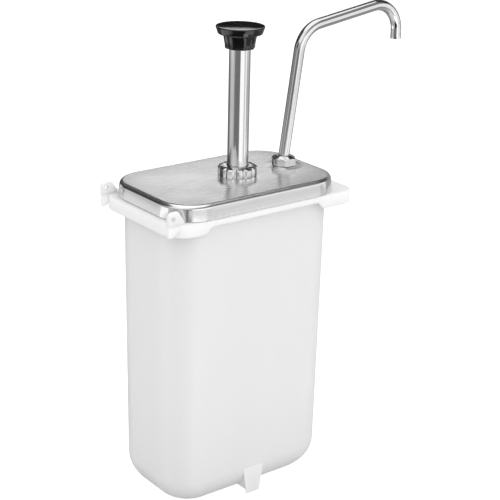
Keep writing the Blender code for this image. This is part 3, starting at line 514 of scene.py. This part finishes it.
def rim_ring(inset, z):
    """A ring of the raised rim, which stands inside the cover's skirt."""
    lean = LID_DRAFT * (RIM_HEIGHT + SEAT_GAP) / (lid_top - lid_low.z - LID_BEND_R)
    gap = LID_SHEET + lean + RIM_CLEARANCE + inset
    radius = LID_CORNER_R - gap
    half_x = lid_half_x - gap
    return raised(outline(-half_x, half_x, lid_half_y - gap, radius, radius), z)


def lip_low(point):
    """Height of the lip's lower edge, which is cut back along the long sides."""
    share = (abs(point.x) - LIP_SIDE_LENGTH / 2) / LIP_SIDE_SLOPE
    share = min(max(share, 0), 1)
    return jar_top - LIP_SIDE_DEPTH - (LIP_DEPTH - LIP_SIDE_DEPTH) * eased(share)


def above_lip(height):
    """A height that follows the lip's lower edge."""
    return lambda point: lip_low(point) + height


def wall_rings(wall, top):
    """Rings of one face of the wall from the floor up; wall is its depth from the outside."""
    fillet = JAR_BOTTOM_R - wall
    rings = []
    for sine, cosine in quarter(BOTTOM_STEPS):
        rings.append(body_ring(wall, JAR_TAPER + fillet * (1 - sine), JAR_BOTTOM_R - fillet * cosine))
    for i in range(1, WALL_STEPS + 1):
        share = i / WALL_STEPS
        z = JAR_BOTTOM_R + (top - JAR_BOTTOM_R) * share
        taper = JAR_TAPER * (flange_under - z) / (flange_under - JAR_BOTTOM_R)
        rings.append(body_ring(wall, max(taper, 0), z))
    return rings


def flange_rings():
    """Rings from under the flange, round the lip and over the top to the rim's upper edge."""
    rings = []
    for sine, cosine in quarter():
        z = flange_under - FLANGE_FILLET * (1 - sine)
        rings.append(body_ring(FLANGE_FILLET * (cosine - 1), 0, z))
    for sine, cosine in quarter():
        inset = LIP_T + LIP_FILLET * (1 - sine)
        rings.append(flange_ring(inset, flange_under - LIP_FILLET * (1 - cosine)))
    for sine, cosine in quarter():
        rings.append(flange_ring(LIP_T - LIP_EDGE_R * (1 - cosine), above_lip(LIP_EDGE_R * (1 - sine))))
    for sine, cosine in quarter():
        rings.append(flange_ring(LIP_EDGE_R * (1 - sine), above_lip(LIP_EDGE_R * (1 - cosine))))
    for sine, cosine in quarter():
        rings.append(flange_ring(FLANGE_EDGE_R * (1 - cosine), jar_top - FLANGE_EDGE_R * (1 - sine)))
    rings.append(rim_ring(0, jar_top))
    for sine, cosine in quarter():
        rings.append(rim_ring(RIM_EDGE_R * (1 - cosine), rim_top - RIM_EDGE_R * (1 - sine)))
    return rings


def mouth_rings():
    """Rings of the hollow inside the rim, which flare at its upper edge."""
    rings = [rim_ring(RIM_T, jar_top)]
    for sine, cosine in quarter():
        rings.append(rim_ring(RIM_T - RIM_EDGE_R * (1 - cosine), rim_top - RIM_EDGE_R * (1 - sine)))
    rings.append(rim_ring(RIM_T - RIM_EDGE_R, rim_top + RIM_HEIGHT))
    return rings


def make_ear(name, side):
    """A hinge ear: a plate with a rounded outer top and a sloping back, down along the lip."""
    low = jar_top - LIP_DEPTH + EAR_LIFT
    corners = [(jar_low.x, low)]
    for sine, cosine in quarter(BEND_STEPS):
        x = jar_low.x + EAR_ROUND_R * (1 - cosine)
        corners.append((x, jar_high.z - EAR_ROUND_R * (1 - sine)))
    corners.append((jar_low.x + EAR_TOP_LENGTH, jar_high.z))
    corners.append((jar_low.x + EAR_LENGTH, jar_top + EAR_TOE_HEIGHT))
    corners.append((jar_low.x + EAR_LENGTH, jar_top - FLANGE_T / 2))
    corners.append((flange_back_x + LIP_T / 2, low))
    y = side * EAR_SPACING / 2 - EAR_T / 2
    return prism(name, [Vector((x, y, z)) for x, z in corners], Vector((0, EAR_T, 0)), EAR_EDGE_R)


def make_foot(name, side, inset, low, depth):
    """The plate or the rib of a foot: a slab that widens upwards, set in from the wall's plane."""
    y = side * (jar_half_y - JAR_TAPER - inset)

    def half_width(z):
        return FOOT_WIDTH / 2 - inset + FOOT_SPREAD * (z - FOOT_LIFT) / (FOOT_TOP - FOOT_LIFT)

    high = FOOT_TOP - inset
    corners = [(-half_width(low), low), (half_width(low), low)]
    corners += [(half_width(high), high), (-half_width(high), high)]
    points = [Vector((x, y, z)) for x, z in corners]
    return prism(name, points, Vector((0, -side * depth, 0)), FOOT_EDGE_R)


def make_ear_holes():
    """A round bar along Y, through both ears."""
    middle = Vector((jar_low.x + EAR_ROUND_R, 0, jar_top + EAR_HOLE_HEIGHT))
    turn = Matrix.Rotation(math.pi / 2, 4, "X")
    rings = []
    for y in (-2 * flange_half_y, 2 * flange_half_y):
        ring = circle(0, EAR_HOLE_R, 0, TUBE_SIDES)
        rings.append([turn @ point + middle + Vector((0, y, 0)) for point in ring])
    return loft("ear_holes", rings, "capped")


def make_jar(material):
    """The jar: one moulding with its flange, lip, rim, ears and feet."""
    jar = loft("jar_shell", wall_rings(0, flange_under - FLANGE_FILLET) + flange_rings(), "capped")
    hollow = loft("jar_hollow", wall_rings(JAR_WALL, jar_top) + mouth_rings(), "capped")
    steps = []
    for side, where in ((-1, "right"), (1, "left")):
        steps.append(("UNION", make_foot("foot_plate_" + where, side, 0, FOOT_LIFT, FOOT_PLATE_T)))
        rib = (FOOT_RIB_INSET, FOOT_RIB_LIFT, FOOT_RIB_DEPTH)
        steps.append(("UNION", make_foot("foot_rib_" + where, side, *rib)))
        steps.append(("UNION", make_ear("ear_" + where, side)))
    steps.append(("DIFFERENCE", hollow))
    steps.append(("DIFFERENCE", make_ear_holes()))
    combine(jar, *steps)
    dress(jar, "jar", material, "milky_plastic", "fountain_jar")


# Cover

def lid_ring(inset, z):
    """A ring of the cover, set in from the skirt's lower edge."""
    radius = LID_CORNER_R - inset
    half_x = lid_half_x - inset
    return raised(outline(-half_x, half_x, lid_half_y - inset, radius, radius), z)


def boss_ring(radius, z):
    """A circle round the spout's axis whose points lie in line with those of the cover's outline."""
    points = []
    for point in lid_ring(0, z):
        angle = math.atan2(point.y, point.x - spout_x)
        points.append(Vector((spout_x + radius * math.cos(angle), radius * math.sin(angle), z)))
    return points


def lid_skin(offset):
    """Rings of one side of the sheet, from the skirt's edge over the bend and up the boss to its hole."""
    bend = LID_BEND_R - offset
    rings = [lid_ring(offset, jar_top + REST_GAP + LID_EDGE_R)]
    for sine, cosine in quarter(BEND_STEPS):
        inset = offset + LID_DRAFT + bend * (1 - cosine)
        rings.append(lid_ring(inset, lid_top - LID_BEND_R + bend * sine))
    steps = 2 * BEND_STEPS
    for i in range(steps + 1):
        share = i / steps
        radius = BOSS_R + (BOSS_TOP_R - BOSS_R) * share - offset * math.sin(math.pi * share)
        rings.append(boss_ring(radius, lid_top - offset + BOSS_HEIGHT * eased(share)))
    rings.append(boss_ring(STEM_HOLE_R, lid_high.z - offset))
    return rings


def make_lid(material):
    """The cover: a pressed sheet with a skirt, a boss for the spout and a hole for the pump."""
    edge = lid_ring(LID_SHEET / 2, jar_top + REST_GAP)
    rings = lid_skin(LID_SHEET)[::-1] + [edge] + lid_skin(0)
    lid = loft("cover_shell", rings, "looped")
    below = lid_top - 2 * LID_SHEET
    above = lid_top + 2 * LID_SHEET
    hole = [circle(pump_x, PUMP_HOLE_R, z) for z in (below, above)]
    combine(lid, ("DIFFERENCE", loft("pump_hole", hole, "capped")))
    dress(lid, "cover", material, "brushed_steel", "lid_cover")


# Collar, plunger and knob

def fluted_ring(radius, z, flutes, cut):
    """A circle about the pump's axis whose radius is cut by a function of the flute's phase."""
    count = flutes * FLUTE_STEPS
    points = []
    for i in range(count):
        angle = 2 * math.pi * i / count
        reach = radius - cut(flutes * angle)
        points.append(Vector((pump_x + reach * math.cos(angle), reach * math.sin(angle), z)))
    return points


def make_collar(material):
    """The lock collar: a fluted cap nut with a domed top."""
    bottom = lid_top + REST_GAP
    top = collar_high.z
    bore_r = tube_r + COLLAR_TUBE_GAP

    def ring(radius, z, depth=COLLAR_FLUTE_DEPTH):
        return fluted_ring(radius, z, COLLAR_FLUTES, lambda phase: depth * max(0, -math.cos(phase)))

    rings = [ring(PUMP_HOLE_R, top - COLLAR_ROOF, 0), ring(PUMP_HOLE_R, bottom, 0)]
    for sine, cosine in quarter():
        rings.append(ring(collar_r - COLLAR_EDGE_R * (1 - sine), bottom + COLLAR_EDGE_R * (1 - cosine)))
    dome_r = bore_r + COLLAR_EDGE_R
    for sine, cosine in quarter(BEND_STEPS):
        depth = COLLAR_FLUTE_DEPTH * cosine
        rings.append(ring(dome_r + (collar_r - dome_r) * cosine, top - COLLAR_DOME * (1 - sine), depth))
    for sine, cosine in quarter():
        rings.append(ring(bore_r + COLLAR_EDGE_R * (1 - sine), top - COLLAR_EDGE_R * (1 - cosine), 0))
    rings.append(ring(bore_r, top - COLLAR_ROOF, 0))
    dress(loft("collar_nut", rings, "looped"), "cover", material, "bright_steel", "lock_collar")


def make_plunger_tube(material):
    """The plunger's tube with rounded ends; rings near them keep its long faces straight in the shading."""
    inner_r = tube_r - TUBE_WALL
    low = tube_low.z
    high = tube_high.z
    rings = []
    for sine, cosine in quarter():
        rings.append(circle(pump_x, tube_r - TUBE_EDGE_R * (1 - sine), low + TUBE_EDGE_R * (1 - cosine)))
    rings.append(circle(pump_x, tube_r, low + TUBE_STRAIGHT))
    rings.append(circle(pump_x, tube_r, high - TUBE_STRAIGHT))
    for sine, cosine in quarter():
        rings.append(circle(pump_x, tube_r - TUBE_EDGE_R * (1 - cosine), high - TUBE_EDGE_R * (1 - sine)))
    for sine, cosine in quarter():
        rings.append(circle(pump_x, inner_r + TUBE_EDGE_R * (1 - sine), high - TUBE_EDGE_R * (1 - cosine)))
    for sine, cosine in quarter():
        rings.append(circle(pump_x, inner_r + TUBE_EDGE_R * (1 - cosine), low + TUBE_EDGE_R * (1 - sine)))
    dress(loft("plunger_stem", rings, "looped"), "plunger", material, "bright_steel", "plunger_tube")


def make_knob(material):
    """The push knob: a crowned rim on a fluted, tapered neck, hollow for the tube and its stud."""
    bottom = knob_low.z
    top = knob_high.z
    rim_bottom = top - KNOB_RIM_HEIGHT
    socket_top = bottom + KNOB_SOCKET_DEPTH
    socket_r = tube_r + SEAT_GAP

    def ring(radius, z, depth=0.0):
        return fluted_ring(radius, z, KNOB_FLUTES, lambda phase: depth * (1 + math.cos(phase)) / 2)

    rings = [ring(KNOB_STUD_R, socket_top + KNOB_STUD_DEPTH), ring(KNOB_STUD_R, socket_top)]
    rings += [ring(socket_r, socket_top), ring(socket_r, bottom)]
    foot = (rim_bottom - bottom) * KNOB_FOOT_SHARE
    for sine, cosine in quarter():
        reach = KNOB_NECK_R - foot / 2 * (1 - sine)
        rings.append(ring(reach, bottom + foot * (1 - cosine), KNOB_FLUTE_DEPTH))
    rings.append(ring(KNOB_NECK_R, bottom + 2 * foot, KNOB_FLUTE_DEPTH))
    for sine, cosine in quarter():
        reach = KNOB_NECK_TOP_R + KNOB_NECK_FILLET * (1 - cosine)
        rings.append(ring(reach, rim_bottom - KNOB_NECK_FILLET * (1 - sine), KNOB_FLUTE_DEPTH * cosine))
    low_r = knob_r - KNOB_RIM_TAPER
    for sine, cosine in quarter(2 * FILLET_STEPS):
        reach = low_r - KNOB_LOW_ROUND * (1 - sine)
        rings.append(ring(reach, rim_bottom + KNOB_LOW_ROUND * (1 - cosine)))
    edge = top - KNOB_CROWN
    for sine, cosine in quarter(2 * FILLET_STEPS):
        rings.append(ring(knob_r - KNOB_TOP_ROUND * (1 - cosine), edge - KNOB_TOP_ROUND * (1 - sine)))
    flat_r = knob_r - KNOB_TOP_ROUND
    for i in range(1, BEND_STEPS):
        share = 1 - i / BEND_STEPS
        rings.append(ring(flat_r * share, top - KNOB_CROWN * share * share))
    dress(loft("push_knob", rings, "capped"), "plunger", material, "black_plastic", "knob")


# Coupling nut and spout

def nut_ring(limit, z):
    """A hexagon with a corner towards +X, kept inside a circle."""
    points = []
    for i in range(TURN_STEPS):
        angle = 2 * math.pi * i / TURN_STEPS
        flat = nut_across / 2 / math.cos(angle % (math.pi / 3) - math.pi / 6)
        reach = min(flat, limit)
        points.append(Vector((spout_x + reach * math.cos(angle), reach * math.sin(angle), z)))
    return points


def make_nut(material):
    """The coupling nut: a hexagon whose top is turned to a cone that rises to the spout."""
    bottom = nut_low.z
    top = nut_high.z
    corner = nut_across / 2 / math.cos(math.pi / 6)
    rings = []
    for sine, cosine in quarter():
        rings.append(nut_ring(corner - NUT_CHAMFER * (1 - sine), bottom + NUT_CHAMFER * (1 - cosine)))
    steps = 3 * FILLET_STEPS
    for i in range(steps + 1):
        share = i / steps
        rings.append(nut_ring(corner - (corner - NUT_TOP_R) * share, top - NUT_CONE * (1 - share)))
    rings.append(nut_ring(NUT_BORE_R, top))
    rings.append(nut_ring(NUT_BORE_R, top - NUT_ROOF))
    rings.append(nut_ring(STEM_HOLE_R, top - NUT_ROOF))
    rings.append(nut_ring(STEM_HOLE_R, bottom))
    dress(loft("spout_nut", rings, "looped"), "cover", material, "bright_steel", "coupling_nut")


def rounded_path(corners, radii):
    """A path through corners, each inner corner rounded by its radius."""
    points = [corners[0]]
    for before, here, after, radius in zip(corners, corners[1:], corners[2:], radii):
        start = (before - here).normalized()
        end = (after - here).normalized()
        half = start.angle(end) / 2
        centre = here + (start + end).normalized() * (radius / math.sin(half))
        first = here + start * (radius / math.tan(half)) - centre
        last = here + end * (radius / math.tan(half)) - centre
        sweep = first.angle(last)
        steps = max(FILLET_STEPS, round(2 * BEND_STEPS * sweep / (math.pi / 2)))
        for i in range(steps + 1):
            share = i / steps
            arm = first * math.sin((1 - share) * sweep) + last * math.sin(share * sweep)
            points.append(centre + arm / math.sin(sweep))
    points.append(corners[-1])
    return points


def make_spout(material):
    """The bent spout: a tube swept along its path, with rounded edges at the outlet."""
    reach_x = spout_high.x - spout_r
    knee_z = lid_top + SPOUT_KNEE_HEIGHT
    knee_x = spout_x + (knee_z - nut_high.z) * math.tan(SPOUT_LEAN)
    elbow_z = knee_z + (reach_x - knee_x) * math.tan(SPOUT_ARM_RISE)
    corners = [
        Vector((spout_x, 0, spout_low.z)),
        Vector((spout_x, 0, nut_high.z)),
        Vector((knee_x, 0, knee_z)),
        Vector((reach_x, 0, elbow_z)),
        Vector((reach_x, 0, lid_top + SPOUT_TIP_HEIGHT)),
    ]
    path = rounded_path(corners, (SPOUT_FOOT_BEND_R, SPOUT_BEND_R, SPOUT_BEND_R))
    last = len(path) - 1
    sideways = Vector((0, 1, 0))

    def ring(place, radius, back=0.0):
        along = (path[min(place + 1, last)] - path[max(place - 1, 0)]).normalized()
        across = sideways.cross(along)
        angles = [2 * math.pi * i / TUBE_SIDES for i in range(TUBE_SIDES)]
        middle = path[place] - along * back
        return [middle + radius * (math.cos(a) * across + math.sin(a) * sideways) for a in angles]

    inner_r = spout_r - SPOUT_WALL
    rings = [ring(place, spout_r) for place in range(last)]
    for sine, cosine in quarter():
        rings.append(ring(last, spout_r - SPOUT_EDGE_R * (1 - cosine), SPOUT_EDGE_R * (1 - sine)))
    for sine, cosine in quarter():
        rings.append(ring(last, inner_r + SPOUT_EDGE_R * (1 - sine), SPOUT_EDGE_R * (1 - cosine)))
    rings += [ring(place, inner_r) for place in range(last - 1, -1, -1)]
    dress(loft("spout_pipe", rings, "looped"), "spout", material, "bright_steel", "spout_tube")


# Return spring

def make_spring(material):
    """The return spring: one round wire with closed end coils."""
    coil_r = spring_high.y - SPRING_WIRE_R
    bottom = spring_low.z + SPRING_WIRE_R
    top = spring_high.z - SPRING_WIRE_R
    pitch = (top - bottom - 2 * SPRING_END_PITCH) / (SPRING_COILS - 2)
    upward = Vector((0, 0, 1))
    turns = [2 * math.pi * i / WIRE_SIDES for i in range(WIRE_SIDES)]
    rings = []
    for i in range(SPRING_COILS * SPRING_POINTS + 1):
        coil = i / SPRING_POINTS
        low = min(coil, 1.0) * SPRING_END_PITCH
        even = min(max(coil - 1.0, 0.0), SPRING_COILS - 2) * pitch
        high = max(coil - (SPRING_COILS - 1), 0.0) * SPRING_END_PITCH
        angle = 2 * math.pi * coil
        outward = Vector((math.cos(angle), math.sin(angle), 0))
        middle = Vector((pump_x, 0, bottom + low + even + high)) + coil_r * outward
        sides = [math.cos(turn) * outward + math.sin(turn) * upward for turn in turns]
        rings.append([middle + SPRING_WIRE_R * side for side in sides])
    spring = loft("lift_spring", rings, "capped")
    dress(spring, "cover", material, "bright_steel", "return_spring")
    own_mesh(spring)


# Shader nodes

def new_material(name):
    """A material with its node tree and shader."""
    material = bpy.data.materials.new(name)
    material.use_nodes = True
    return material, material.node_tree, material.node_tree.nodes["Principled BSDF"]


def add_node(tree, kind, inputs=None, **settings):
    """A shader node with its settings; each input is a value or a socket to link from."""
    node = tree.nodes.new("ShaderNode" + kind)
    for name, value in settings.items():
        setattr(node, name, value)
    for name, value in (inputs or {}).items():
        if isinstance(value, bpy.types.NodeSocket):
            tree.links.new(value, node.inputs[name])
        else:
            node.inputs[name].default_value = value
    return node


def maths(tree, operation, first, second=0.0, **settings):
    """One step of arithmetic on values or sockets."""
    return add_node(tree, "Math", {0: first, 1: second}, operation=operation, **settings).outputs["Value"]


def noise(tree, cells, detail=3.0, roughness=0.5):
    """Noise in the object's own metres, with its cells per metre for all axes or for each axis."""
    stretch = cells if isinstance(cells, tuple) else (cells, cells, cells)
    place = add_node(tree, "TexCoord").outputs["Object"]
    scaled = add_node(tree, "Mapping", {"Vector": place, "Scale": stretch}).outputs["Vector"]
    inputs = {"Vector": scaled, "Scale": 1.0, "Detail": detail, "Roughness": roughness}
    return add_node(tree, "TexNoise", inputs).outputs["Fac"]


def spread(tree, value, low, high, start=NOISE_LOW, end=NOISE_HIGH):
    """A value mapped from one range, that of a noise if not given, to another."""
    inputs = {"Value": value, "From Min": start, "From Max": end, "To Min": low, "To Max": high}
    return add_node(tree, "MapRange", inputs).outputs["Result"]


def grey(tree, value, low, high):
    """A grey between two levels, chosen by a noise value."""
    level = spread(tree, value, low, high)
    inputs = {"Red": level, "Green": level, "Blue": level}
    return add_node(tree, "CombineColor", inputs).outputs["Color"]


def grey_ramp(tree, share, stops):
    """Greys along a share, from stops of (position, level)."""
    ramp = add_node(tree, "ValToRGB", {"Fac": share})
    elements = ramp.color_ramp.elements
    for position, _ in stops[1:-1]:
        elements.new(position)
    for element, (position, level) in zip(elements, stops):
        element.position = position
        element.color = (level, level, level, 1)
    return ramp.outputs["Color"]


def mixed(tree, share, first, second, blend="MIX"):
    """Two colours mixed by a share; each is a grey level or a socket."""
    node = add_node(tree, "Mix", {"Factor": share}, data_type="RGBA", blend_type=blend)
    for socket, value in zip([s for s in node.inputs if s.type == "RGBA"], (first, second)):
        if isinstance(value, bpy.types.NodeSocket):
            tree.links.new(value, socket)
        else:
            socket.default_value = (value, value, value, 1)
    return [s for s in node.outputs if s.type == "RGBA"][0]


def object_height(tree):
    """Height in the object's own metres, which start at the floor."""
    place = add_node(tree, "TexCoord").outputs["Object"]
    return add_node(tree, "SeparateXYZ", {"Vector": place}).outputs["Z"]


def bump(tree, shader, layers):
    """Bump from layers of (height socket, depth in metres), put on the shader."""
    normal = None
    for height, depth in layers:
        inputs = {"Height": height, "Distance": depth, "Strength": 1.0}
        if normal:
            inputs["Normal"] = normal
        normal = add_node(tree, "Bump", inputs).outputs["Normal"]
    tree.links.new(normal, shader.inputs["Normal"])


def finish(tree, shader, tint, rough, worn):
    """Tint and roughness on the shader, drawn towards worn values along the sharper outer edges."""
    cells, worn_tint, worn_rough = worn
    point = add_node(tree, "NewGeometry").outputs["Pointiness"]
    edge = spread(tree, point, 0.0, 1.0, WEAR_START, WEAR_FULL)
    patchy = spread(tree, noise(tree, cells, detail=4.0), WEAR_LEAST, 1.0)
    wear = maths(tree, "MULTIPLY", edge, patchy)
    tree.links.new(mixed(tree, wear, tint, worn_tint), shader.inputs["Base Color"])
    tree.links.new(spread(tree, wear, rough, worn_rough, 0.0, 1.0), shader.inputs["Roughness"])


# Finishes

def milky_plastic():
    """Natural polypropylene: white, a little translucent, with flow marks, a fine moulded grain and painted
    light and shade by height.
    """
    material, tree, shader = new_material("milky_plastic_finish")
    flow = noise(tree, FLOW_CELLS)
    # Painted shade and light by height: the wall darker towards the bottom, the lip lighter, the flange's
    # top darker
    rise = spread(tree, object_height(tree), 0.0, 1.0, 0.0, jar_high.z)
    tint = grey_ramp(tree, rise, WALL_PAINTED_SHADE + LIP_PAINTED_LIGHT_AND_SHADE)
    tint = mixed(tree, 1.0, tint, grey(tree, flow, *FLOW_TINT), "MULTIPLY")
    rough = spread(tree, noise(tree, MILKY_CELLS), *MILKY_ROUGH)
    finish(tree, shader, tint, rough, MILKY_WORN)
    shader.inputs["Subsurface Weight"].default_value = MILKY_SCATTER
    shader.inputs["Subsurface Radius"].default_value = (1.0, 1.0, 1.0)
    shader.inputs["Subsurface Scale"].default_value = MILKY_SCATTER_DEPTH
    shader.inputs["IOR"].default_value = MILKY_IOR
    grain = noise(tree, MILKY_GRAIN_CELLS, detail=2.0)
    bump(tree, shader, ((flow, FLOW_DEPTH), (grain, MILKY_GRAIN_DEPTH)))
    return material


def brushed_steel():
    """Stainless sheet with a fine grain brushed along X, smoother on the skirt with painted shade there,
    and handling marks.
    """
    material, tree, shader = new_material("brushed_steel_finish")
    streaks = noise(tree, BRUSH_CELLS, detail=4.0)
    marks = noise(tree, HANDLING_CELLS)
    height = object_height(tree)
    sheen = spread(tree, height, SKIRT_SHEEN, 1.0, lid_top - LID_BEND_R, lid_top)
    # Painted shade: the skirt's colour is darker below the bend
    painted_shade_low = lid_top - PAINTED_SHADE_BOTTOM * LID_BEND_R
    painted_shade_high = lid_top - PAINTED_SHADE_TOP * LID_BEND_R
    painted_shade = spread(tree, height, SKIRT_PAINTED_SHADE, 1.0, painted_shade_low, painted_shade_high)
    tint = mixed(tree, 1.0, grey(tree, streaks, *BRUSH_TINT), painted_shade, "MULTIPLY")
    rough = maths(tree, "ADD", spread(tree, streaks, *BRUSH_ROUGH), spread(tree, marks, *HANDLING_ROUGH))
    finish(tree, shader, tint, maths(tree, "MULTIPLY", rough, sheen), BRUSHED_WORN)
    shader.inputs["Metallic"].default_value = 1.0
    grain = maths(tree, "MULTIPLY", streaks, sheen)
    bump(tree, shader, ((grain, BRUSH_DEPTH), (marks, HANDLING_DEPTH)))
    return material


def bright_steel():
    """Polished stainless tube and fittings: drawing lines along the length and a few smudges."""
    material, tree, shader = new_material("bright_steel_finish")
    lines = noise(tree, DRAWN_CELLS, detail=4.0)
    smudge = noise(tree, SMUDGE_CELLS)
    rough = maths(tree, "ADD", spread(tree, lines, *DRAWN_ROUGH), spread(tree, smudge, *SMUDGE_ROUGH))
    finish(tree, shader, grey(tree, lines, *DRAWN_TINT), rough, BRIGHT_WORN)
    shader.inputs["Metallic"].default_value = 1.0
    bump(tree, shader, ((lines, DRAWN_DEPTH), (smudge, SMUDGE_DEPTH)))
    return material


def black_plastic():
    """Glossy black moulding with fine scratches, faint sink marks and a little dust."""
    material, tree, shader = new_material("black_plastic_finish")
    dust = noise(tree, DUST_CELLS, detail=5.0, roughness=0.65)
    scratches = noise(tree, SCRATCH_CELLS, detail=4.0)
    rough = maths(tree, "ADD", spread(tree, scratches, *SCRATCH_ROUGH), spread(tree, dust, *DUST_ROUGH))
    finish(tree, shader, grey(tree, dust, *DUST_TINT), rough, BLACK_WORN)
    shader.inputs["IOR"].default_value = BLACK_IOR
    bump(tree, shader, ((scratches, SCRATCH_DEPTH), (noise(tree, SINK_CELLS), SINK_DEPTH)))
    return material


def white_plastic():
    """Off-white acetal of the inner mouldings, with a faint mottle."""
    material, tree, shader = new_material("white_plastic_finish")
    mottle = noise(tree, MOTTLE_CELLS, detail=4.0)
    tint = grey(tree, mottle, *MOTTLE_TINT)
    finish(tree, shader, tint, spread(tree, mottle, *MOTTLE_ROUGH), WHITE_WORN)
    grain = noise(tree, WHITE_GRAIN_CELLS, detail=2.0)
    bump(tree, shader, ((grain, WHITE_GRAIN_DEPTH), (mottle, MOTTLE_DEPTH)))
    return material


def seal_rubber():
    """Matt black rubber of the gaskets and rings, with a dusty bloom."""
    material, tree, shader = new_material("seal_rubber_finish")
    bloom = noise(tree, BLOOM_CELLS, detail=5.0, roughness=0.6)
    tint = grey(tree, bloom, *BLOOM_TINT)
    finish(tree, shader, tint, spread(tree, bloom, *BLOOM_ROUGH), RUBBER_WORN)
    grain = noise(tree, RUBBER_GRAIN_CELLS, detail=2.0)
    bump(tree, shader, ((grain, RUBBER_GRAIN_DEPTH),))
    return material


# Studio

def level_ramp(tree, share, levels):
    """Light level round the object, from stops of (degrees, level)."""
    return grey_ramp(tree, share, [((degrees + 180) / 360, level) for degrees, level in levels])


def fade(tree, angle, low_degrees, high_degrees):
    """A share that goes smoothly from 0 to 1 as an angle passes two values."""
    low = math.radians(low_degrees)
    high = math.radians(high_degrees)
    inputs = {"Value": angle, "From Min": low, "From Max": high}
    return add_node(tree, "MapRange", inputs, interpolation_type="SMOOTHSTEP").outputs["Result"]


def window(tree, angle, low_degrees, high_degrees, edge):
    """A share that is 1 between two angles, with soft edges."""
    rise = fade(tree, angle, low_degrees - edge, low_degrees + edge)
    fall = fade(tree, angle, high_degrees + edge, high_degrees - edge)
    return maths(tree, "MULTIPLY", rise, fall)


def ray_angles(tree):
    """A ray's angles: round the object from the camera's side, and above the horizon."""
    direction = add_node(tree, "TexCoord").outputs["Generated"]
    camera_side = math.atan2(-math.cos(CAMERA_YAW), -math.sin(CAMERA_YAW))
    inputs = {"Vector": direction, "Angle": -camera_side}
    turned = add_node(tree, "VectorRotate", inputs, rotation_type="Z_AXIS").outputs["Vector"]
    axes = add_node(tree, "SeparateXYZ", {"Vector": turned}).outputs
    return maths(tree, "ARCTAN2", axes["Y"], axes["X"]), maths(tree, "ARCSINE", axes["Z"])


def mirrored_level(tree, share, around, above):
    """What steel mirrors: bands that take over from each other upwards, and patches over them."""
    level = level_ramp(tree, share, FLOOR_LEVELS)
    for levels, low, high in BANDS:
        level = mixed(tree, fade(tree, above, low, high), level, level_ramp(tree, share, levels))
    for patch, turn, rise in PATCHES:
        beside = window(tree, around, *turn, PATCH_EDGE)
        beyond = window(tree, above, *rise, PATCH_RISE_EDGE)
        level = mixed(tree, maths(tree, "MULTIPLY", beside, beyond), level, patch)
    return level


def make_world():
    """A white studio: even light for matt surfaces, soft boxes with dark gaps for steel to mirror."""
    world = bpy.data.worlds.new("studio")
    bpy.context.scene.world = world
    world.use_nodes = True
    # The light differs by kind of ray, so no map of it is sampled
    world.cycles.sampling_method = "NONE"
    tree = world.node_tree
    around, above = ray_angles(tree)
    share = spread(tree, around, 0.0, 1.0, -math.pi, math.pi)
    path = add_node(tree, "LightPath").outputs
    # Rays that come from steel alone, with no matt surface on the way
    glossy = maths(tree, "SUBTRACT", path["Is Glossy Ray"], path["Diffuse Depth"], use_clamp=True)
    matt_level = level_ramp(tree, share, DIFFUSE_LEVELS)
    level = mixed(tree, glossy, matt_level, mirrored_level(tree, share, around, above))
    level = mixed(tree, path["Is Camera Ray"], level, 1.0)
    tree.links.new(level, tree.nodes["Background"].inputs["Color"])


def make_floor():
    """A pale round floor, bright enough to run into the white surroundings."""
    bm = bmesh.new()
    bmesh.ops.create_circle(bm, cap_ends=True, segments=TURN_STEPS, radius=FLOOR_R)
    floor = make_object("floor", bm)
    material, tree, shader = new_material("floor_finish")
    shader.inputs["Base Color"].default_value = (FLOOR_BASE, FLOOR_BASE, FLOOR_BASE, 1)
    shader.inputs["Roughness"].default_value = 1.0
    shader.inputs["Specular IOR Level"].default_value = 0.0
    shader.inputs["Emission Color"].default_value = (1, 1, 1, 1)
    seen = add_node(tree, "LightPath").outputs["Is Camera Ray"]
    glow = spread(tree, seen, FLOOR_GLOW, 1.0, 0.0, 1.0)
    tree.links.new(glow, shader.inputs["Emission Strength"])
    floor.data.materials.append(material)
    # Steel mirrors the studio's floor levels in place of this disc
    floor.visible_glossy = False
    floor.location.z = -SEAT_GAP


def make_camera():
    """The photograph's camera."""
    data = bpy.data.cameras.new("camera")
    data.lens = CAMERA_LENS
    data.sensor_width = SENSOR_WIDTH
    camera = bpy.data.objects.new("camera", data)
    bpy.context.scene.collection.objects.link(camera)
    across = Vector((math.sin(CAMERA_YAW), math.cos(CAMERA_YAW), 0))
    ahead = across * math.cos(CAMERA_PITCH) - Vector((0, 0, math.sin(CAMERA_PITCH)))
    right = Vector((math.cos(CAMERA_YAW), -math.sin(CAMERA_YAW), 0))
    up = right.cross(ahead)
    turn = Matrix.Rotation(CAMERA_ROLL, 3, -ahead)
    placed = Matrix((turn @ right, turn @ up, -ahead)).transposed().to_4x4()
    placed.translation = CAMERA_PLACE
    camera.matrix_world = placed
    bpy.context.scene.camera = camera


def main():
    """Finishes on all pieces, shells over those that are seen or wound, and the studio."""
    finishes = {
        "milky_plastic": milky_plastic(),
        "brushed_steel": brushed_steel(),
        "bright_steel": bright_steel(),
        "black_plastic": black_plastic(),
        "white_plastic": white_plastic(),
        "seal_rubber": seal_rubber(),
    }
    for part in frame["record"]["subparts"]:
        node = frame["nodes"][part["node"]]
        node.data.materials.clear()
        node.data.materials.append(finishes[part["material_slot"]])
    make_jar(finishes["milky_plastic"])
    make_lid(finishes["brushed_steel"])
    make_collar(finishes["bright_steel"])
    make_plunger_tube(finishes["bright_steel"])
    make_knob(finishes["black_plastic"])
    make_nut(finishes["bright_steel"])
    make_spout(finishes["bright_steel"])
    make_spring(finishes["bright_steel"])
    make_world()
    make_floor()
    make_camera()
    bpy.context.scene.view_settings.view_transform = "Standard"


main()
